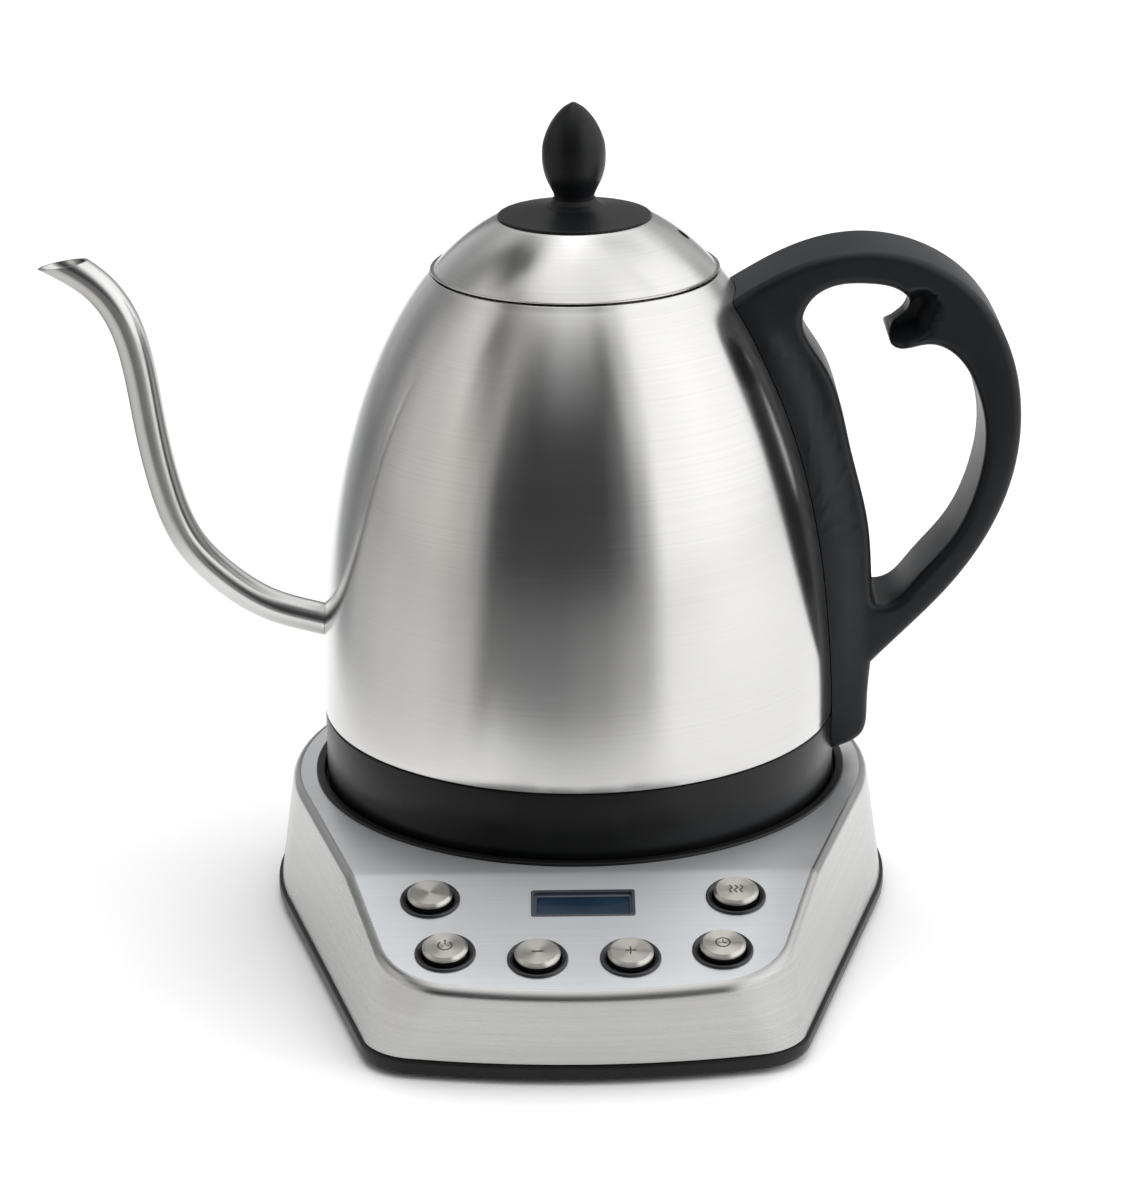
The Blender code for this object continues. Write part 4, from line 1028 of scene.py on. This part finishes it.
def build_panel(look):
    marks = key_marks()
    for name, (u, v) in BUTTONS.items():
        place = shifted(PANEL, u, v, 0)
        bezel = lathe(name + "_key_ring", [
            (BEZEL_BORE + 0.15, 0.15, 0.15), (BEZEL_RADIUS - 0.55, 0.95, 0.35), (BEZEL_RADIUS, 0.1, 0.25),
            (BEZEL_COLLAR, 0.1), (BEZEL_COLLAR, -2), (BEZEL_BORE, -2), (BEZEL_BORE, -0.4, 0.2),
        ], 72, place)
        finish_piece(bezel, "base", look["bezel"], name + "_bezel", slot="bezel_grey")
        crown = BUTTON_PROUD
        cap = lathe(name + "_key_cap", [
            (0, crown - 0.12), (3, crown - 0.08), (BUTTON_RADIUS - 0.75, crown, 0.2),
            (BUTTON_RADIUS, crown - 0.75, 0.2), (BUTTON_RADIUS, crown - 1.3), (0, crown - 1.3),
        ], 96, place, closed=False)
        finish_piece(cap, name + "_key", look["key"], name + "_button", slot="key_steel")
        stem = lathe(name + "_key_stem", [
            (0, crown - 1.3), (BUTTON_RADIUS - 0.25, crown - 1.3), (BUTTON_RADIUS - 0.1, -2.5, 0.3),
            (2, -2.5), (2, -5.2), (0, -5.2),
        ], 72, place, closed=False)
        finish_piece(stem, name + "_key", look["base_black"])
        for index, route in enumerate(marks[name]):
            line = ribbon(f"{name}_mark_{index}", route, MARK_WIDTH, MARK_RISE,
                          shifted(place, 0, 0, crown - MARK_SINK))
            finish_piece(line, name + "_key", look["mark"])

    frame_ring = rect_loft("display_bezel", [
        (0, 0.05, 0.7), (0, 0.22, 0.7), (0.35, 0.32, 0.6), (0.7, 0.1, 0.5), (0.9, -0.75, 0.45),
        (3.1, -1.05, 0.3), (3.1, -1.5, 0.3), (1.5, -1.5, 0.6), (1.5, 0.05, 0.6),
    ], True)
    finish_piece(frame_ring, "base", look["frame"], "display_frame", slot="base_black")
    lens = rect_loft("display_lens_pane", [(3.2, -1.7, 0.3), (3.2, -1.3, 0.3), (3.4, -1.2, 0.3)], False)
    finish_piece(lens, "base", look["glass"], "display_window", slot="display_glass")


def rect_loft(name, rings, closed):
    """The display's rounded rectangle, joined from one (shrinkage, height, corner radius) to the next."""
    bm = bmesh.new()
    rows = []
    place = shifted(PANEL, 0, DISPLAY_CENTRE_V, 0)
    for smaller, height, radius in rings:
        wide, deep = (side - smaller for side in DISPLAY_SIZE)
        row = []
        for cx, cy, start in ((1, 1, 0), (-1, 1, 90), (-1, -1, 180), (1, -1, 270)):
            for k in range(6):
                a = math.radians(start + 90 * k / 5)
                x = cx * (wide / 2 - radius) + radius * math.cos(a)
                y = cy * (deep / 2 - radius) + radius * math.sin(a)
                row.append(bm.verts.new(place @ (Vector((x, y, height)) * MM)))
        rows.append(row)
    close_skin(bm, rows, closed)
    return add_object(name, bm, 25)


def dress_frame(look):
    """Materials for the CAD nodes that stay."""
    by_look = {
        "inner": ("floor_plate", "temperature_probe"),
        "aluminium": ("heat_spreader",),
        "dull_steel": ("heating_element", "handle_bracket_upper", "handle_bracket_lower"),
        "silicone": ("probe_seal",),
        "rubber": tuple(n for n in node if n.startswith("foot")),
        "board": ("control_board", "power_board"),
        "lcd": ("lcd_module",),
        "base_black": ("buzzer",),
        "brass": ("socket_ring_contact", "socket_pin_contact"),
        "screw": tuple(n for n in node if "screw" in n),
    }
    for key, names in by_look.items():
        for name in names:
            obj = node[name]
            obj.data.materials.clear()
            obj.data.materials.append(look[key])


# ---- studio


def build_studio():
    """White floor under the object, with painted shade on it beyond the camera's view, walls and lights."""
    bm = bmesh.new()
    bmesh.ops.create_grid(bm, x_segments=2, y_segments=2, size=6.0)
    floor = add_object("studio_floor", bm)
    made, tree, shader = new_material("floor_white_painted_shade", FLOOR_WHITE, 0.7, Specular_IOR_Level=0.2)
    place = add_node(tree, "ShaderNodeTexCoord").outputs["Object"]
    x, y = add_node(tree, "ShaderNodeSeparateXYZ", {0: place}).outputs[:2]
    # Beyond the view the floor's colour is painted shade, toned by the direction round the object and darker
    # ahead of it
    painted_shade = ramp(tree, azimuth_share(tree, x, y), FLOOR_PAINTED_SHADE)
    wedge = sums(tree, "MULTIPLY_ADD", y, -VIEW_SPREAD, sums(tree, "ABSOLUTE", x))
    beside = remap(tree, wedge, 0.0, 1.0, *FLOOR_BESIDE)
    ahead = remap(tree, y, 0.0, 1.0, *FLOOR_AHEAD)
    painted_shade_share = sums(tree, "MAXIMUM", beside, ahead)
    feed(tree, shader, Base_Color=mix_colour(tree, painted_shade_share, FLOOR_WHITE, painted_shade))
    floor.data.materials.append(made)
    build_world()
    for name, light in LIGHTS.items():
        area_light(name, *light)


def area_light(name, at, towards, wide, tall, power):
    """A softbox that lights the object without showing in its reflections."""
    light = bpy.data.lights.new(name, "AREA")
    light.shape = "RECTANGLE"
    light.size = wide
    light.size_y = tall
    light.energy = power
    obj = link(name, light)
    obj.location = at
    obj.rotation_mode = "QUATERNION"
    obj.rotation_quaternion = (Vector(towards) - Vector(at)).to_track_quat("-Z", "Y")
    obj.visible_glossy = False


def ramp(tree, value, stops):
    """A colour ramp over (position, colour) stops."""
    made = add_node(tree, "ShaderNodeValToRGB", {"Fac": value})
    line = made.color_ramp
    line.interpolation = "EASE"
    while len(line.elements) > 1:
        line.elements.remove(line.elements[-1])
    line.elements[0].position = stops[0][0]
    line.elements[0].color = (*stops[0][1], 1.0)
    for position, colour in stops[1:]:
        line.elements.new(position).color = (*colour, 1.0)
    return made.outputs[0]


def azimuth_share(tree, x, y):
    """0 to 1 once round, with the camera's side at 0.5 and the handle's side at 0.75."""
    azimuth = sums(tree, "ARCTAN2", x, sums(tree, "MULTIPLY", y, -1.0))
    return remap(tree, azimuth, 0.0, 1.0, -math.pi, math.pi)


def build_world():
    """The studio's walls and ceiling, blended from one ring of tones to the next."""
    world = bpy.data.worlds.new("studio")
    bpy.context.scene.world = world
    world.use_nodes = True
    tree = world.node_tree
    place = add_node(tree, "ShaderNodeTexCoord").outputs["Generated"]
    x, y, z = add_node(tree, "ShaderNodeSeparateXYZ", {0: place}).outputs
    turn = azimuth_share(tree, x, y)
    blend = ramp(tree, turn, WALL_TONES[0][1])
    for (low, _), (high, stops) in zip(WALL_TONES, WALL_TONES[1:]):
        share = remap(tree, z, 0.0, 1.0, math.sin(math.radians(low)), math.sin(math.radians(high)))
        blend = mix_colour(tree, share, blend, ramp(tree, turn, stops))
    tree.links.new(blend, tree.nodes["Background"].inputs["Color"])


def build_camera():
    data = bpy.data.cameras.new("camera")
    data.sensor_width = 36.0
    data.lens = CAMERA_LENS
    data.clip_start = 0.01
    data.clip_end = 50.0
    camera = link("camera", data)
    right = Vector((1, 0, 0))
    up = Vector((0, math.sin(CAMERA_PITCH), math.cos(CAMERA_PITCH)))
    back = Vector((0, -math.cos(CAMERA_PITCH), math.sin(CAMERA_PITCH)))
    turned_right = right * math.cos(CAMERA_ROLL) - up * math.sin(CAMERA_ROLL)
    turned_up = right * math.sin(CAMERA_ROLL) + up * math.cos(CAMERA_ROLL)
    basis = Matrix((turned_right, turned_up, back)).transposed().to_4x4()
    camera.matrix_world = Matrix.Translation(AXIS + Vector(CAMERA_AT) * MM) @ basis
    bpy.context.scene.camera = camera


look = build_materials()
build_body(look)
build_spout(look)
build_handle(look)
build_coupler(look)
build_lid(look)
build_base(look)
build_panel(look)
dress_frame(look)
build_studio()
build_camera()

scene = bpy.context.scene
scene.view_settings.view_transform = "Standard"
